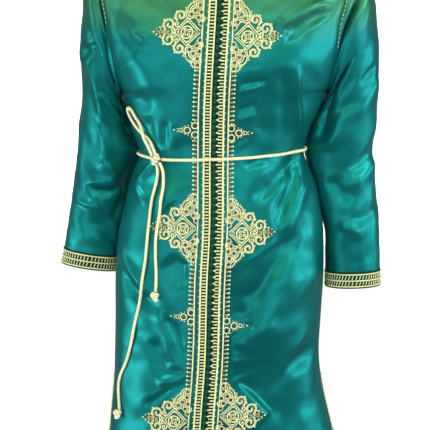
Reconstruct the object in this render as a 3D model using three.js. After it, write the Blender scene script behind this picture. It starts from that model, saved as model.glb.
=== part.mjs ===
// A short kaftan tunic, worn and hollow, with braid, couched embroidery and its cord belt.
// Millimetres, +Z up. The front faces -Y, +X is the wearer's left.
// The origin is the middle of the neck opening, level with the neck ends of the shoulder seams.
import * as THREE from 'three';
import { mergeVertices } from 'three/addons/utils/BufferGeometryUtils.js';

// ---- Cloth and seams ----
const CLOTH = 1.6;
const SEAM_GAP = 0.3;
const BRAID = 1.8;
const CORDWORK = 1.4;
const MOTIF_OFF = 2;
const NECK_BRAID_OFF = 0.95;
const SHOULDER_LIFT = 3.2;
const LIFT_FROM = 0.5;
const CLOSED_UP = 0.8;
const ON_PANEL = 0.6;

// ---- Neck, shoulders and armholes ----
const NECK_HALF = 78;
const NECK_DROP = { front: 84, back: 18 };
const SHOULDER_SLOPE = 0.31;
const SHOULDER_ROUND = 105;
const UNDERARM_Z = -285;
const ARMHOLE_MID_Z = -165;
const ARMHOLE_DEPTH = 52;

// ---- Body form, a row for each level: half widths to each side, depths to front and back ----
const BODY = [
  { z: 30, right: 222, left: 233, front: 62, back: 74 },
  { z: -45, right: 224, left: 236, front: 66, back: 86 },
  { z: -84, right: 222, left: 235, front: 78, back: 93 },
  { z: -117, right: 219, left: 231, front: 92, back: 97 },
  { z: -160, right: 213, left: 221, front: 108, back: 99 },
  { z: -204, right: 208, left: 217, front: 120, back: 97 },
  { z: -245, right: 199, left: 210, front: 121, back: 92 },
  { z: -285, right: 190, left: 202, front: 115, back: 87 },
  { z: -320, right: 181, left: 190, front: 107, back: 81 },
  { z: -360, right: 173, left: 172, front: 99, back: 74 },
  { z: -406, right: 157, left: 160, front: 93, back: 68 },
  { z: -440, right: 168, left: 173, front: 98, back: 76 },
  { z: -465, right: 177, left: 183, front: 103, back: 83 },
  { z: -500, right: 185, left: 191, front: 109, back: 91 },
  { z: -550, right: 197, left: 199, front: 114, back: 100 },
  { z: -600, right: 204, left: 201, front: 117, back: 104 },
  { z: -650, right: 207, left: 201, front: 118, back: 105 },
  { z: -730, right: 208, left: 197, front: 119, back: 103 },
  { z: -800, right: 210, left: 194, front: 121, back: 102 },
  { z: -855, right: 212, left: 199, front: 124, back: 103 },
  { z: -900, right: 216, left: 208, front: 126, back: 106 },
  { z: -955, right: 221, left: 221, front: 128, back: 110 },
  { z: -1010, right: 226, left: 230, front: 130, back: 114 },
];
const ROUNDNESS = 2.4;

// ---- Placket line, and where each piece beside it starts and ends ----
const PLACKET = [
  { z: 30, x: 0 },
  { z: -84, x: 0 },
  { z: -205, x: -6.5 },
  { z: -290, x: -11 },
  { z: -400, x: -13 },
  { z: -540, x: -14 },
  { z: -640, x: -19 },
  { z: -790, x: -23 },
  { z: -900, x: -31 },
  { z: -1010, x: -38 },
];
const BUTTON_HALF = 4.6;
const BUTTON_PITCH = 14.4;
const BUTTON_HEIGHT = 3.2;
const BUTTON_BAND = 1.2;
const BRAID_FROM = 5.2;
const BRAID_TO = 18.6;
const COLUMN_FROM = 25;
const COLUMN_TO = 39;

// ---- Embroidery motifs, a row for each pair: middle level on each side, reach, half height ----
const MOTIFS = [
  { name: 'chest', right: -173, left: -180, reach: 117, half: 70 },
  { name: 'above_belt', right: -353, left: -359, reach: 74, half: 24 },
  { name: 'hip', right: -537, left: -545, reach: 117, half: 68 },
  { name: 'thigh', right: -706, left: -722, reach: 76, half: 24 },
  { name: 'hem', right: -909, left: -897, reach: 119, half: 70 },
];

// ---- Hem and side slits ----
const HEM_BASE_Z = -1000;
const HEM_FADE = 150;
const HEM = [
  { s: -1.1, front: -976, back: -976 },
  { s: -0.85, front: -984, back: -982 },
  { s: -0.4, front: -998, back: -992 },
  { s: 0, front: -1002, back: -994 },
  { s: 0.4, front: -994, back: -988 },
  { s: 0.85, front: -966, back: -968 },
  { s: 1.1, front: -950, back: -954 },
];
const SLIT_TOP_Z = -850;
const SLIT_SPREAD = 16;
const EDGE_BRAID = 10;
const NECK_BRAID = 12;

// ---- Rows of each body panel: nominal levels below the underarm, then steps up to the top edge ----
const LEVELS = [
  -1000, -950, -900, -850, -800, -750, -700, -650, -600, -560, -520, -482, -452, -428, -406, -384,
  -352, -318, -285,
];
const ROWS_ABOVE = 9;
const SIDE_STEPS = [0.16, 0.33, 0.5, 0.66, 0.8, 0.9, 0.96, 1];

// ---- Largest folds, a row for each: the line it follows, its half width and its height ----
const FOLDS = [
  { face: 'front', x1: 160, z1: -640, x2: 30, z2: -830, wide: 24, high: 7 },
  { face: 'front', x1: 186, z1: -730, x2: 70, z2: -930, wide: 26, high: -7 },
  { face: 'front', x1: 150, z1: -800, x2: 120, z2: -1010, wide: 24, high: 6 },
  { face: 'front', x1: 140, z1: -415, x2: 70, z2: -520, wide: 15, high: -6 },
  { face: 'front', x1: 150, z1: -415, x2: 118, z2: -590, wide: 17, high: 5 },
  { face: 'front', x1: 156, z1: -425, x2: 172, z2: -620, wide: 16, high: -5 },
  { face: 'front', x1: 168, z1: -60, x2: 60, z2: -150, wide: 22, high: 6 },
  { face: 'front', x1: 196, z1: -110, x2: 90, z2: -215, wide: 20, high: -5 },
  { face: 'front', x1: 150, z1: -250, x2: 128, z2: -400, wide: 17, high: -6 },
  { face: 'front', x1: 110, z1: -300, x2: 108, z2: -402, wide: 14, high: 5 },
  { face: 'front', x1: -110, z1: -300, x2: -100, z2: -402, wide: 16, high: -5 },
  { face: 'front', x1: -130, z1: -420, x2: -160, z2: -600, wide: 16, high: -6 },
  { face: 'front', x1: -100, z1: -418, x2: -112, z2: -505, wide: 14, high: 5 },
  { face: 'front', x1: -80, z1: -640, x2: -165, z2: -820, wide: 24, high: -7 },
  { face: 'front', x1: -70, z1: -740, x2: -150, z2: -900, wide: 20, high: 6 },
  { face: 'front', x1: -120, z1: -60, x2: -90, z2: -220, wide: 24, high: 5 },
  { face: 'back', x1: 60, z1: -260, x2: 66, z2: -402, wide: 18, high: -7 },
  { face: 'back', x1: -70, z1: -250, x2: -60, z2: -402, wide: 18, high: -7 },
  { face: 'back', x1: 10, z1: -300, x2: 4, z2: -402, wide: 14, high: 5 },
  { face: 'back', x1: 90, z1: -415, x2: 120, z2: -700, wide: 20, high: -7 },
  { face: 'back', x1: 20, z1: -415, x2: 30, z2: -640, wide: 18, high: -6 },
  { face: 'back', x1: -60, z1: -415, x2: -90, z2: -740, wide: 20, high: -7 },
  { face: 'back', x1: -150, z1: -560, x2: -120, z2: -940, wide: 24, high: 7 },
  { face: 'back', x1: 60, z1: -700, x2: 80, z2: -1000, wide: 24, high: 7 },
];
// The stiff cord work holds the cloth flat, and folds start past its edge.
const FOLD_CLEAR = 34;

// ---- Sleeves, a row for each ring: its outer and inner ends, its middle and half depth in Y ----
const SLEEVES = {
  right: [
    { outX: 246, outZ: -60, inX: 194, inZ: -290, y: 4, depth: 57 },
    { outX: 259, outZ: -93, inX: 195, inZ: -300, y: 10, depth: 61 },
    { outX: 265, outZ: -145, inX: 193, inZ: -314, y: 18, depth: 62 },
    { outX: 268, outZ: -210, inX: 183, inZ: -338, y: 27, depth: 60 },
    { outX: 269, outZ: -260, inX: 176, inZ: -360, y: 32, depth: 58 },
    { outX: 269, outZ: -310, inX: 165, inZ: -386, y: 37, depth: 55 },
    { outX: 276, outZ: -372, inX: 159, inZ: -424, y: 43, depth: 51 },
    { outX: 283, outZ: -425, inX: 169, inZ: -462, y: 47, depth: 48 },
    { outX: 291, outZ: -480, inX: 180, inZ: -505, y: 50, depth: 45 },
    { outX: 299, outZ: -530, inX: 190, inZ: -548, y: 52, depth: 42 },
    { outX: 306, outZ: -572, inX: 198, inZ: -588, y: 53, depth: 40 },
    { outX: 311, outZ: -604, inX: 203, inZ: -620, y: 53, depth: 38 },
    { outX: 317, outZ: -635, inX: 207, inZ: -651, y: 53, depth: 38 },
  ],
  left: [
    { outX: 262, outZ: -60, inX: 206, inZ: -290, y: 4, depth: 57 },
    { outX: 283, outZ: -92, inX: 207, inZ: -299, y: 8, depth: 61 },
    { outX: 295, outZ: -140, inX: 205, inZ: -312, y: 13, depth: 62 },
    { outX: 301, outZ: -205, inX: 197, inZ: -334, y: 18, depth: 61 },
    { outX: 303, outZ: -260, inX: 186, inZ: -355, y: 21, depth: 59 },
    { outX: 301, outZ: -315, inX: 175, inZ: -380, y: 23, depth: 56 },
    { outX: 297, outZ: -372, inX: 170, inZ: -412, y: 24, depth: 52 },
    { outX: 297, outZ: -430, inX: 177, inZ: -454, y: 24, depth: 49 },
    { outX: 301, outZ: -490, inX: 189, inZ: -506, y: 22, depth: 46 },
    { outX: 307, outZ: -550, inX: 200, inZ: -560, y: 19, depth: 43 },
    { outX: 310, outZ: -605, inX: 206, inZ: -610, y: 15, depth: 40 },
    { outX: 312, outZ: -647, inX: 207, inZ: -650, y: 12, depth: 38 },
    { outX: 313, outZ: -679, inX: 207, inZ: -682, y: 11, depth: 38 },
  ],
};
const SLEEVE_SQUARE = 0.92;

// ---- Sleeve folds: ring place along the sleeve, place round it (turns from outside to front) ----
const SLEEVE_FOLDS = [
  { side: 'right', ring: 5.5, turn: 0.2, rings: 0.9, turns: 0.14, high: -5 },
  { side: 'right', ring: 7.2, turn: 0.3, rings: 0.8, turns: 0.12, high: 5 },
  { side: 'right', ring: 9.4, turn: 0.16, rings: 0.8, turns: 0.14, high: -4 },
  { side: 'right', ring: 6.4, turn: 0.75, rings: 0.9, turns: 0.16, high: -5 },
  { side: 'left', ring: 3.4, turn: 0.16, rings: 1.1, turns: 0.12, high: -6 },
  { side: 'left', ring: 6.2, turn: 0.22, rings: 0.9, turns: 0.12, high: 5 },
  { side: 'left', ring: 8.2, turn: 0.14, rings: 0.9, turns: 0.14, high: -5 },
  { side: 'left', ring: 6.6, turn: 0.74, rings: 0.9, turns: 0.16, high: -5 },
];

// ---- Cord belt ----
const CORD_RADIUS = 3.5;
const CORD_SIDES = 8;
const CORD_OFF = 1.8;
const OVER_TRIM = 3.4;
const KNOT = { x: -118, z: -413, halfX: 10.5, halfY: 8, halfZ: 9.5 };
const TAIL_KNOT = { halfX: 7, halfY: 6, halfZ: 8.5 };
const BELT_LEVELS = [
  { s: -1, front: -411, back: -411 },
  { s: -0.72, front: -413, back: -408 },
  { s: 0, front: -408, back: -402 },
  { s: 0.6, front: -403, back: -398 },
  { s: 1, front: -399, back: -399 },
];
// Routes are x and z on the front, and how far the cord stands off the cloth there.
const TAILS = {
  right: [
    { x: -122, z: -424, off: 4 }, { x: -123, z: -440, off: 2 }, { x: -124, z: -462, off: 0.6 },
    { x: -127, z: -485, off: 0 }, { x: -131, z: -508, off: 0 }, { x: -134, z: -532, off: 0 },
    { x: -136, z: -556, off: 0 }, { x: -139, z: -582, off: 0 }, { x: -142, z: -608, off: 0 },
    { x: -146, z: -636, off: 0 }, { x: -151, z: -664, off: 0 }, { x: -156, z: -692, off: 0 },
    { x: -161, z: -720, off: 0 }, { x: -166, z: -748, off: 0 }, { x: -171, z: -776, off: 0 },
    { x: -177, z: -802, off: 0 }, { x: -185, z: -824, off: 0 }, { x: -191, z: -846, off: 0 },
    { x: -193, z: -868, off: 0 }, { x: -193, z: -890, off: 0 }, { x: -193, z: -906, off: 0 },
  ],
  left: [
    { x: -114, z: -424, off: 4 }, { x: -111, z: -440, off: 3 }, { x: -109, z: -458, off: 2 },
    { x: -107, z: -480, off: 2 }, { x: -107, z: -502, off: 3 }, { x: -110, z: -524, off: 3.4 },
    { x: -114, z: -546, off: 3.4 }, { x: -118, z: -568, off: 2.4 }, { x: -121, z: -590, off: 1 },
    { x: -122, z: -612, off: 0.5 }, { x: -122, z: -634, off: 0.5 }, { x: -122, z: -656, off: 0.5 },
    { x: -122, z: -676, off: 0.5 }, { x: -122, z: -690, off: 0.5 },
  ],
};
const BOW = [
  { x: -123, z: -401, off: 3 }, { x: -128, z: -389, off: 1.6 }, { x: -135, z: -374, off: 0.8 },
  { x: -142, z: -358, off: 0.5 }, { x: -152, z: -342, off: 0.5 }, { x: -161, z: -327, off: 0.5 },
  { x: -168, z: -314, off: 1 }, { x: -169, z: -303, off: 2 }, { x: -163, z: -300, off: 2 },
  { x: -157, z: -307, off: 1.5 }, { x: -152, z: -320, off: 2 }, { x: -147, z: -336, off: 5 },
  { x: -142, z: -352, off: 8.6 }, { x: -134.5, z: -367, off: 8.6 }, { x: -125.5, z: -382, off: 8 },
  { x: -118, z: -392, off: 7 }, { x: -114, z: -401, off: 5.5 },
];

// ---- Finishes ----
const finish = (color, roughness, metalness) => new THREE.MeshStandardMaterial({ color, roughness, metalness });
const SATIN = () => finish(0x14857d, 0.35, 0);
const GOLD_BRAID = () => finish(0xe6dca0, 0.5, 0.35);
const GOLD_CORD = () => finish(0xd9cb8a, 0.45, 0.4);
const GREEN_SILK = () => finish(0x0b4a3c, 0.55, 0);
const CREAM_CORD = () => finish(0xe9dfb4, 0.65, 0.1);

const tunic = new THREE.Group();

function add(name, geometry, material) {
  const mesh = new THREE.Mesh(geometry, material);
  mesh.name = name;
  tunic.add(mesh);
}

// ---- Small maths ----
const clamp = (v, low, high) => Math.min(high, Math.max(low, v));
const mix = (a, b, t) => a + (b - a) * t;

function smooth(from, to, v) {
  const t = clamp((v - from) / (to - from), 0, 1);
  return t * t * (3 - 2 * t);
}

// A column of a table at any place along its key, as one smooth curve through its rows.
function read(rows, key, column, at) {
  const up = rows[0][key] < rows[rows.length - 1][key];
  const list = up ? rows : [...rows].reverse();
  const last = list.length - 1;
  const here = clamp(at, list[0][key], list[last][key]);
  let i = 0;
  while (i < last - 1 && here > list[i + 1][key]) i += 1;
  const slope = (k) => {
    const a = list[Math.max(k - 1, 0)];
    const b = list[Math.min(k + 1, last)];
    return (b[column] - a[column]) / (b[key] - a[key]);
  };
  const span = list[i + 1][key] - list[i][key];
  const t = (here - list[i][key]) / span;
  const v0 = list[i][column];
  const v1 = list[i + 1][column];
  const m0 = slope(i) * span;
  const m1 = slope(i + 1) * span;
  return (2 * t ** 3 - 3 * t ** 2 + 1) * v0 + (t ** 3 - 2 * t ** 2 + t) * m0
    + (3 * t ** 2 - 2 * t ** 3) * v1 + (t ** 3 - t ** 2) * m1;
}

const placketX = (z) => read(PLACKET, 'z', 'x', z);
const halfWidth = (side, z) => read(BODY, 'z', side, z);
const sideOf = (x) => (x < 0 ? 'right' : 'left');
const shoulderZ = (x) => (NECK_HALF - Math.abs(x)) * SHOULDER_SLOPE;

// ---- The body's surface: a point of the front or back at a place across and a level ----
function armholeDepth(z) {
  if (z <= UNDERARM_Z) return 0;
  const below = clamp((ARMHOLE_MID_Z - z) / (ARMHOLE_MID_Z - UNDERARM_Z), 0, 1);
  return ARMHOLE_DEPTH * Math.sqrt(1 - below * below);
}

function foldHeight(face, x, z) {
  let total = 0;
  for (const fold of FOLDS.filter((row) => row.face === face)) {
    const dx = fold.x2 - fold.x1;
    const dz = fold.z2 - fold.z1;
    const length = Math.hypot(dx, dz);
    const along = ((x - fold.x1) * dx + (z - fold.z1) * dz) / (length * length);
    const off = ((x - fold.x1) * dz - (z - fold.z1) * dx) / length;
    const ends = smooth(-0.1, 0.2, along) * (1 - smooth(0.75, 1.1, along));
    total += fold.high * ends * Math.exp(-((off / fold.wide) ** 2));
  }
  if (face === 'back') return total;
  const pastCordwork = Math.abs(x - placketX(z)) - cordworkReach(sideOf(x), z);
  return total * smooth(0, FOLD_CLEAR, pastCordwork);
}

function plainPoint(face, x, z) {
  const half = halfWidth(sideOf(x), z);
  const across = clamp(Math.abs(x) / half, 0, 1);
  const bow = Math.sqrt(1 - across ** ROUNDNESS);
  const edge = armholeDepth(z);
  const under = clamp((shoulderZ(x) - z) / SHOULDER_ROUND, 0, 1);
  const round = Math.sqrt(1 - (1 - under) ** 2);
  const slit = SLIT_SPREAD * smooth(SLIT_TOP_Z, SLIT_TOP_Z - HEM_FADE, z) * across ** 6;
  const depth = (edge + (read(BODY, 'z', face, z) - edge) * bow) * round;
  const out = Math.max(depth, SEAM_GAP / 2) + slit;
  return new THREE.Vector3(x, face === 'front' ? -out : out, z);
}

function bodyPoint(face, x, z) {
  const half = halfWidth(sideOf(x), z);
  const step = 2;
  const near = clamp(x, -halfWidth('right', z) + 3 * step, halfWidth('left', z) - 3 * step);
  const across = plainPoint(face, near + step, z).sub(plainPoint(face, near - step, z));
  const upward = plainPoint(face, near, z + step).sub(plainPoint(face, near, z - step));
  const out = face === 'front' ? across.cross(upward) : upward.cross(across);
  const still = 1 - smooth(0.86, 1, Math.abs(x) / half);
  const top = smooth(0, 60, shoulderZ(x) - z);
  return plainPoint(face, x, z).addScaledVector(out.normalize(), foldHeight(face, x, z) * still * top);
}

// ---- Body panels: columns from the middle to the side, rows from the hem to the top edge ----
function topZ(face, x) {
  const reach = Math.abs(x);
  if (reach >= NECK_HALF) return shoulderZ(x);
  return -NECK_DROP[face] * Math.sqrt(1 - (reach / NECK_HALF) ** 2);
}

function rowZ(face, x, row, columnX) {
  const below = LEVELS.length - 1;
  if (row <= below) {
    const level = LEVELS[row];
    const s = x / halfWidth(sideOf(x), level);
    const hem = read(HEM, 's', face, s) - HEM_BASE_Z;
    return level + hem * clamp(1 - (level - HEM_BASE_Z) / HEM_FADE, 0, 1);
  }
  let top = -60;
  for (let pass = 0; pass < 12; pass += 1) top = topZ(face, columnX(top));
  const up = (row - below) / ROWS_ABOVE;
  return mix(UNDERARM_Z, top, (1 - Math.cos(Math.PI * up)) / 2);
}

const ROWS = LEVELS.length + ROWS_ABOVE;

function panelGrid(face, columns) {
  return columns.map((columnX) => {
    const column = [];
    for (let row = 0; row < ROWS; row += 1) {
      let z = row < LEVELS.length ? LEVELS[row] : UNDERARM_Z;
      for (let pass = 0; pass < 3; pass += 1) z = rowZ(face, columnX(z), row, columnX);
      column.push(bodyPoint(face, columnX(z), z));
    }
    return column;
  });
}

function frontColumns(side) {
  const sign = side === 'right' ? -1 : 1;
  const near = [SEAM_GAP / 2, BRAID_FROM, BRAID_TO, COLUMN_FROM, COLUMN_TO];
  const neck = (NECK_HALF - COLUMN_TO) / (halfWidth(side, 0) - COLUMN_TO);
  const shares = [neck * 0.55, neck, ...SIDE_STEPS.map((step) => mix(neck, 1, step))];
  const nearLines = near.map((reach) => (z) => placketX(z) + sign * reach);
  const farLines = shares.map((share) => (z) => {
    const from = placketX(z) + sign * COLUMN_TO;
    return mix(from, sign * halfWidth(side, z), share);
  });
  return [...nearLines, ...farLines];
}

function backColumns() {
  const lines = [];
  for (const side of ['right', 'left']) {
    const sign = side === 'right' ? -1 : 1;
    const neck = NECK_HALF / halfWidth(side, 0);
    const shares = [neck * 0.5, neck * 0.85, neck, ...SIDE_STEPS.map((step) => mix(neck, 1, step))];
    const half = shares.map((share) => (z) => sign * share * halfWidth(side, z));
    if (side === 'right') lines.push(...half.reverse(), () => 0);
    else lines.push(...half);
  }
  return lines;
}

// ---- Walls: an outer grid, its inward directions, a thickness ----
function outwardNormals(grid, around) {
  const last = grid.length - 1;
  return grid.map((column, i) => column.map((point, j) => {
    const before = grid[around ? (i + last) % grid.length : Math.max(i - 1, 0)][j];
    const after = grid[around ? (i + 1) % grid.length : Math.min(i + 1, last)][j];
    const low = column[Math.max(j - 1, 0)];
    const high = column[Math.min(j + 1, column.length - 1)];
    const across = after.clone().sub(before);
    return across.cross(high.clone().sub(low)).normalize();
  }));
}

// A mirrored wall has its quads split along the other diagonal, as the mirror image of a plain one has.
function shell(outer, inner, around, mirrored = false) {
  const columns = outer.length;
  const rows = outer[0].length;
  const points = [];
  for (const grid of [outer, inner]) grid.forEach((column) => column.forEach((p) => points.push(p.x, p.y, p.z)));
  const at = (layer, i, j) => layer * columns * rows + (i % columns) * rows + j;
  const faces = [];
  const split = (a, b, c, d) => faces.push(a, b, c, a, c, d);
  const quad = (a, b, c, d) => (mirrored ? split(b, c, d, a) : split(a, b, c, d));
  const spans = around ? columns : columns - 1;
  for (let i = 0; i < spans; i += 1) {
    for (let j = 0; j < rows - 1; j += 1) {
      quad(at(0, i, j), at(0, i + 1, j), at(0, i + 1, j + 1), at(0, i, j + 1));
      quad(at(1, i, j), at(1, i, j + 1), at(1, i + 1, j + 1), at(1, i + 1, j));
    }
    quad(at(0, i, 0), at(1, i, 0), at(1, i + 1, 0), at(0, i + 1, 0));
    quad(at(0, i, rows - 1), at(0, i + 1, rows - 1), at(1, i + 1, rows - 1), at(1, i, rows - 1));
  }
  if (!around) {
    for (let j = 0; j < rows - 1; j += 1) {
      quad(at(0, 0, j), at(0, 0, j + 1), at(1, 0, j + 1), at(1, 0, j));
      quad(at(0, columns - 1, j), at(1, columns - 1, j), at(1, columns - 1, j + 1), at(0, columns - 1, j + 1));
    }
  }
  const geometry = new THREE.BufferGeometry();
  geometry.setAttribute('position', new THREE.Float32BufferAttribute(points, 3));
  geometry.setIndex(faces);
  return geometry;
}

const moved = (grid, directions, distance) => grid.map((column, i) => column.map((point, j) => (
  point.clone().addScaledVector(directions[i][j], distance))));

// Seams meet edge to edge, so each panel's wall is turned inwards along the seam and not along its face.
function seamNormals(grid, normals, sides) {
  const underarm = LEVELS.length - 1;
  for (const [index, sign] of sides) {
    grid[index].forEach((point, row) => {
      const radial = new THREE.Vector3(0, point.y, point.z - ARMHOLE_MID_Z).normalize();
      normals[index][row] = row <= underarm ? new THREE.Vector3(sign, 0, 0) : radial;
    });
  }
  grid.forEach((column, i) => {
    if (Math.abs(column[ROWS - 1].x) > NECK_HALF - 1) normals[i][ROWS - 1] = new THREE.Vector3(0, 0, 1);
  });
  return normals;
}

// Grids run so that across x up points outwards: to +X on the front, to -X on the back.
function makePanel(name, face, columns, sides) {
  const grid = panelGrid(face, columns);
  const normals = outwardNormals(grid, false);
  const seams = seamNormals(grid, normals.map((column) => [...column]), sides);
  add(name, shell(grid, moved(grid, seams, -CLOTH), false), SATIN());
  return { grid, normals };
}

const panels = {
  right: makePanel('front_right_panel', 'front', frontColumns('right').reverse(), [[0, -1]]),
  left: makePanel('front_left_panel', 'front', frontColumns('left'), [[frontColumns('left').length - 1, 1]]),
};
const backLines = backColumns().reverse();
panels.back = makePanel('back_panel', 'back', backLines, [[0, 1], [backLines.length - 1, -1]]);

// ---- Pieces that lie on a panel are made from its own points, moved out ----
// A panel's line at any row, whole or part, with the outward directions there.
function panelLine(panel, row) {
  const low = Math.min(Math.floor(row), ROWS - 2);
  const t = row - low;
  return panel.grid.map((column, i) => ({
    point: column[low].clone().lerp(column[low + 1], t),
    out: panel.normals[i][low].clone().lerp(panel.normals[i][low + 1], t).normalize(),
  }));
}

function onLine(line, x) {
  const rising = line[0].point.x < line[line.length - 1].point.x;
  const list = rising ? line : [...line].reverse();
  let i = 0;
  while (i < list.length - 2 && x > list[i + 1].point.x) i += 1;
  const t = clamp((x - list[i].point.x) / (list[i + 1].point.x - list[i].point.x), 0, 1);
  return {
    point: list[i].point.clone().lerp(list[i + 1].point, t),
    out: list[i].out.clone().lerp(list[i + 1].out, t).normalize(),
  };
}

// The row, with its part, where the placket edge of a panel reaches a level.
function rowAt(panel, index, z) {
  const column = panel.grid[index];
  let row = 0;
  while (row < ROWS - 2 && z > column[row + 1].z) row += 1;
  return row + clamp((z - column[row].z) / (column[row + 1].z - column[row].z), 0, 1);
}

function strip(name, spots, thick, material, mirrored) {
  const outer = spots.map((column) => column.map((s) => s.point.clone().addScaledVector(s.out, s.high ?? thick)));
  const inner = spots.map((column) => column.map((s) => s.point.clone()));
  add(name, shell(outer, inner, false, mirrored), material);
}

const lifted = (spot, by) => ({ point: spot.point.clone().addScaledVector(spot.out, by), out: spot.out });

// Braids and cord work on the fronts run from just above the hem braid to just below the neck braid.
const HEM_ROW = rowAt(panels.left, 0, HEM_BASE_Z + EDGE_BRAID + 2);
const NECK_ROW = ROWS - 2.47;

function span(from, to, steps) {
  return Array.from({ length: steps + 1 }, (_, k) => mix(from, to, k / steps));
}

// Rows of a strip: its two ends and every whole row between.
function wholeRows(from, to) {
  const rows = [from];
  for (let row = Math.ceil(from + 0.05); row < to - 0.05; row += 1) rows.push(row);
  rows.push(to);
  return rows;
}

function makePlacketBraid(side) {
  const panel = panels[side];
  const sign = side === 'right' ? -1 : 1;
  const reaches = side === 'right' ? [BRAID_TO, BRAID_FROM] : [BRAID_FROM, BRAID_TO];
  const rows = wholeRows(HEM_ROW, NECK_ROW);
  const spots = reaches.map((reach) => rows.map((row) => {
    const line = panelLine(panel, row);
    const middle = line[side === 'right' ? line.length - 1 : 0].point.x;
    return lifted(onLine(line, middle + sign * reach), ON_PANEL);
  }));
  strip(`placket_braid_${side}`, spots, BRAID, GOLD_BRAID());
}

function makeButtonRow() {
  const edge = panels.right.grid.length - 1;
  const lowest = panels.right.grid[edge][0].z + EDGE_BRAID + 3;
  const highest = panels.right.grid[edge][ROWS - 1].z - NECK_BRAID - 3;
  const count = Math.round((highest - lowest) / BUTTON_PITCH) * 2;
  const levels = span(lowest, highest, count);
  const spots = [-BUTTON_HALF, 0, BUTTON_HALF].map((reach) => levels.map((z, k) => {
    const side = reach > 0 ? 'left' : 'right';
    const panel = panels[side];
    const line = panelLine(panel, rowAt(panel, side === 'right' ? edge : 0, z));
    const spot = lifted(onLine(line, placketX(z) + (reach || -SEAM_GAP)), ON_PANEL);
    spot.high = reach === 0 && k % 2 === 1 ? BUTTON_HEIGHT : BUTTON_BAND;
    return spot;
  }));
  strip('button_row', spots, BUTTON_BAND, GREEN_SILK());
}

// How far the cord work reaches from the placket at a level: the column, or a motif's lobes.
function cordworkReach(side, z) {
  let reach = COLUMN_TO;
  for (const motif of MOTIFS) {
    const near = 1 - Math.abs(z - motif[side]) / motif.half;
    if (near > 0) reach = Math.max(reach, mix(COLUMN_TO, motif.reach, near ** 0.85));
  }
  return reach;
}

function makeEmbroidery(side) {
  const panel = panels[side];
  const sign = side === 'right' ? -1 : 1;
  const rows = [];
  for (const row of wholeRows(HEM_ROW, NECK_ROW)) {
    if (rows.length) rows.push((rows[rows.length - 1] + row) / 2);
    rows.push(row);
  }
  // Its columns stand on the panel's own columns, closed up side by side past the cord work's edge.
  const first = 3;
  const count = 6;
  const spots = Array.from({ length: count }, () => []);
  for (const row of rows) {
    const line = panelLine(panel, row);
    const ordered = side === 'right' ? [...line].reverse() : line;
    const middle = ordered[0].point;
    const outTo = (reach) => onLine(line, middle.x + sign * reach);
    let edge = COLUMN_TO;
    while (cordworkReach(side, outTo(edge + 1).point.z) > edge + 1) edge += 1;
    for (let k = 0; k < count; k += 1) {
      const own = Math.abs(ordered[first + k].point.x - middle.x);
      const closed = edge - (count - 1 - k) * CLOSED_UP;
      const reach = k === count - 1 ? edge : Math.min(own, closed);
      spots[k].push(lifted(outTo(reach), k < 2 ? ON_PANEL : MOTIF_OFF));
    }
  }
  if (side === 'right') spots.reverse();
  strip(`embroidery_${side}`, spots, CORDWORK, GOLD_CORD());
}

for (const side of ['right', 'left']) {
  makePlacketBraid(side);
  makeEmbroidery(side);
}
makeButtonRow();

// ---- Edge braids: along the neck, the hem and both edges of each slit ----
// A point of a column at a length below its top or above its hem.
function alongColumn(panel, index, length, fromTop) {
  const column = panel.grid[index];
  let row = fromTop ? ROWS - 1 : 0;
  const step = fromTop ? -1 : 1;
  let left = length;
  while (left > column[row].distanceTo(column[row + step])) {
    left -= column[row].distanceTo(column[row + step]);
    row += step;
  }
  const t = left / column[row].distanceTo(column[row + step]);
  return {
    point: column[row].clone().lerp(column[row + step], t),
    out: panel.normals[index][row].clone().lerp(panel.normals[index][row + step], t).normalize(),
  };
}

const EDGE_BACK = 0.6;

function edgeBraid(name, panel, indexes, width, fromTop) {
  const spots = indexes.map((index) => {
    const column = panel.grid[index];
    const firstRow = column[ROWS - 1].distanceTo(column[ROWS - 2]);
    const between = firstRow < width ? firstRow : width / 2;
    const lengths = fromTop ? [width, between, EDGE_BACK] : [EDGE_BACK, width / 2, width];
    const towardShoulder = smooth(LIFT_FROM, 1, Math.abs(column[ROWS - 1].x) / NECK_HALF);
    const off = fromTop ? NECK_BRAID_OFF + SHOULDER_LIFT * towardShoulder : ON_PANEL;
    return lengths.map((length) => lifted(alongColumn(panel, index, length, fromTop), off));
  });
  strip(name, spots, BRAID, GOLD_BRAID(), fromTop && panel === panels.left);
}

const indexesWhere = (panel, keep) => panel.grid.map((_, i) => i).filter((i) => keep(panel.grid[i]));
const atNeck = (column) => Math.abs(column[ROWS - 1].x) < NECK_HALF + 1;
const all = () => true;

for (const side of ['right', 'left']) {
  const panel = panels[side];
  const clearOfPlacket = (column) => Math.abs(column[ROWS - 1].x) > BRAID_FROM - 1;
  edgeBraid(`neck_braid_front_${side}`, panel, indexesWhere(panel, (c) => atNeck(c) && clearOfPlacket(c)), NECK_BRAID, true);
  edgeBraid(`hem_braid_front_${side}`, panel, indexesWhere(panel, all), EDGE_BRAID, false);
}
edgeBraid('neck_braid_back', panels.back, indexesWhere(panels.back, atNeck), NECK_BRAID, true);
edgeBraid('hem_braid_back', panels.back, indexesWhere(panels.back, all), EDGE_BRAID, false);

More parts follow.
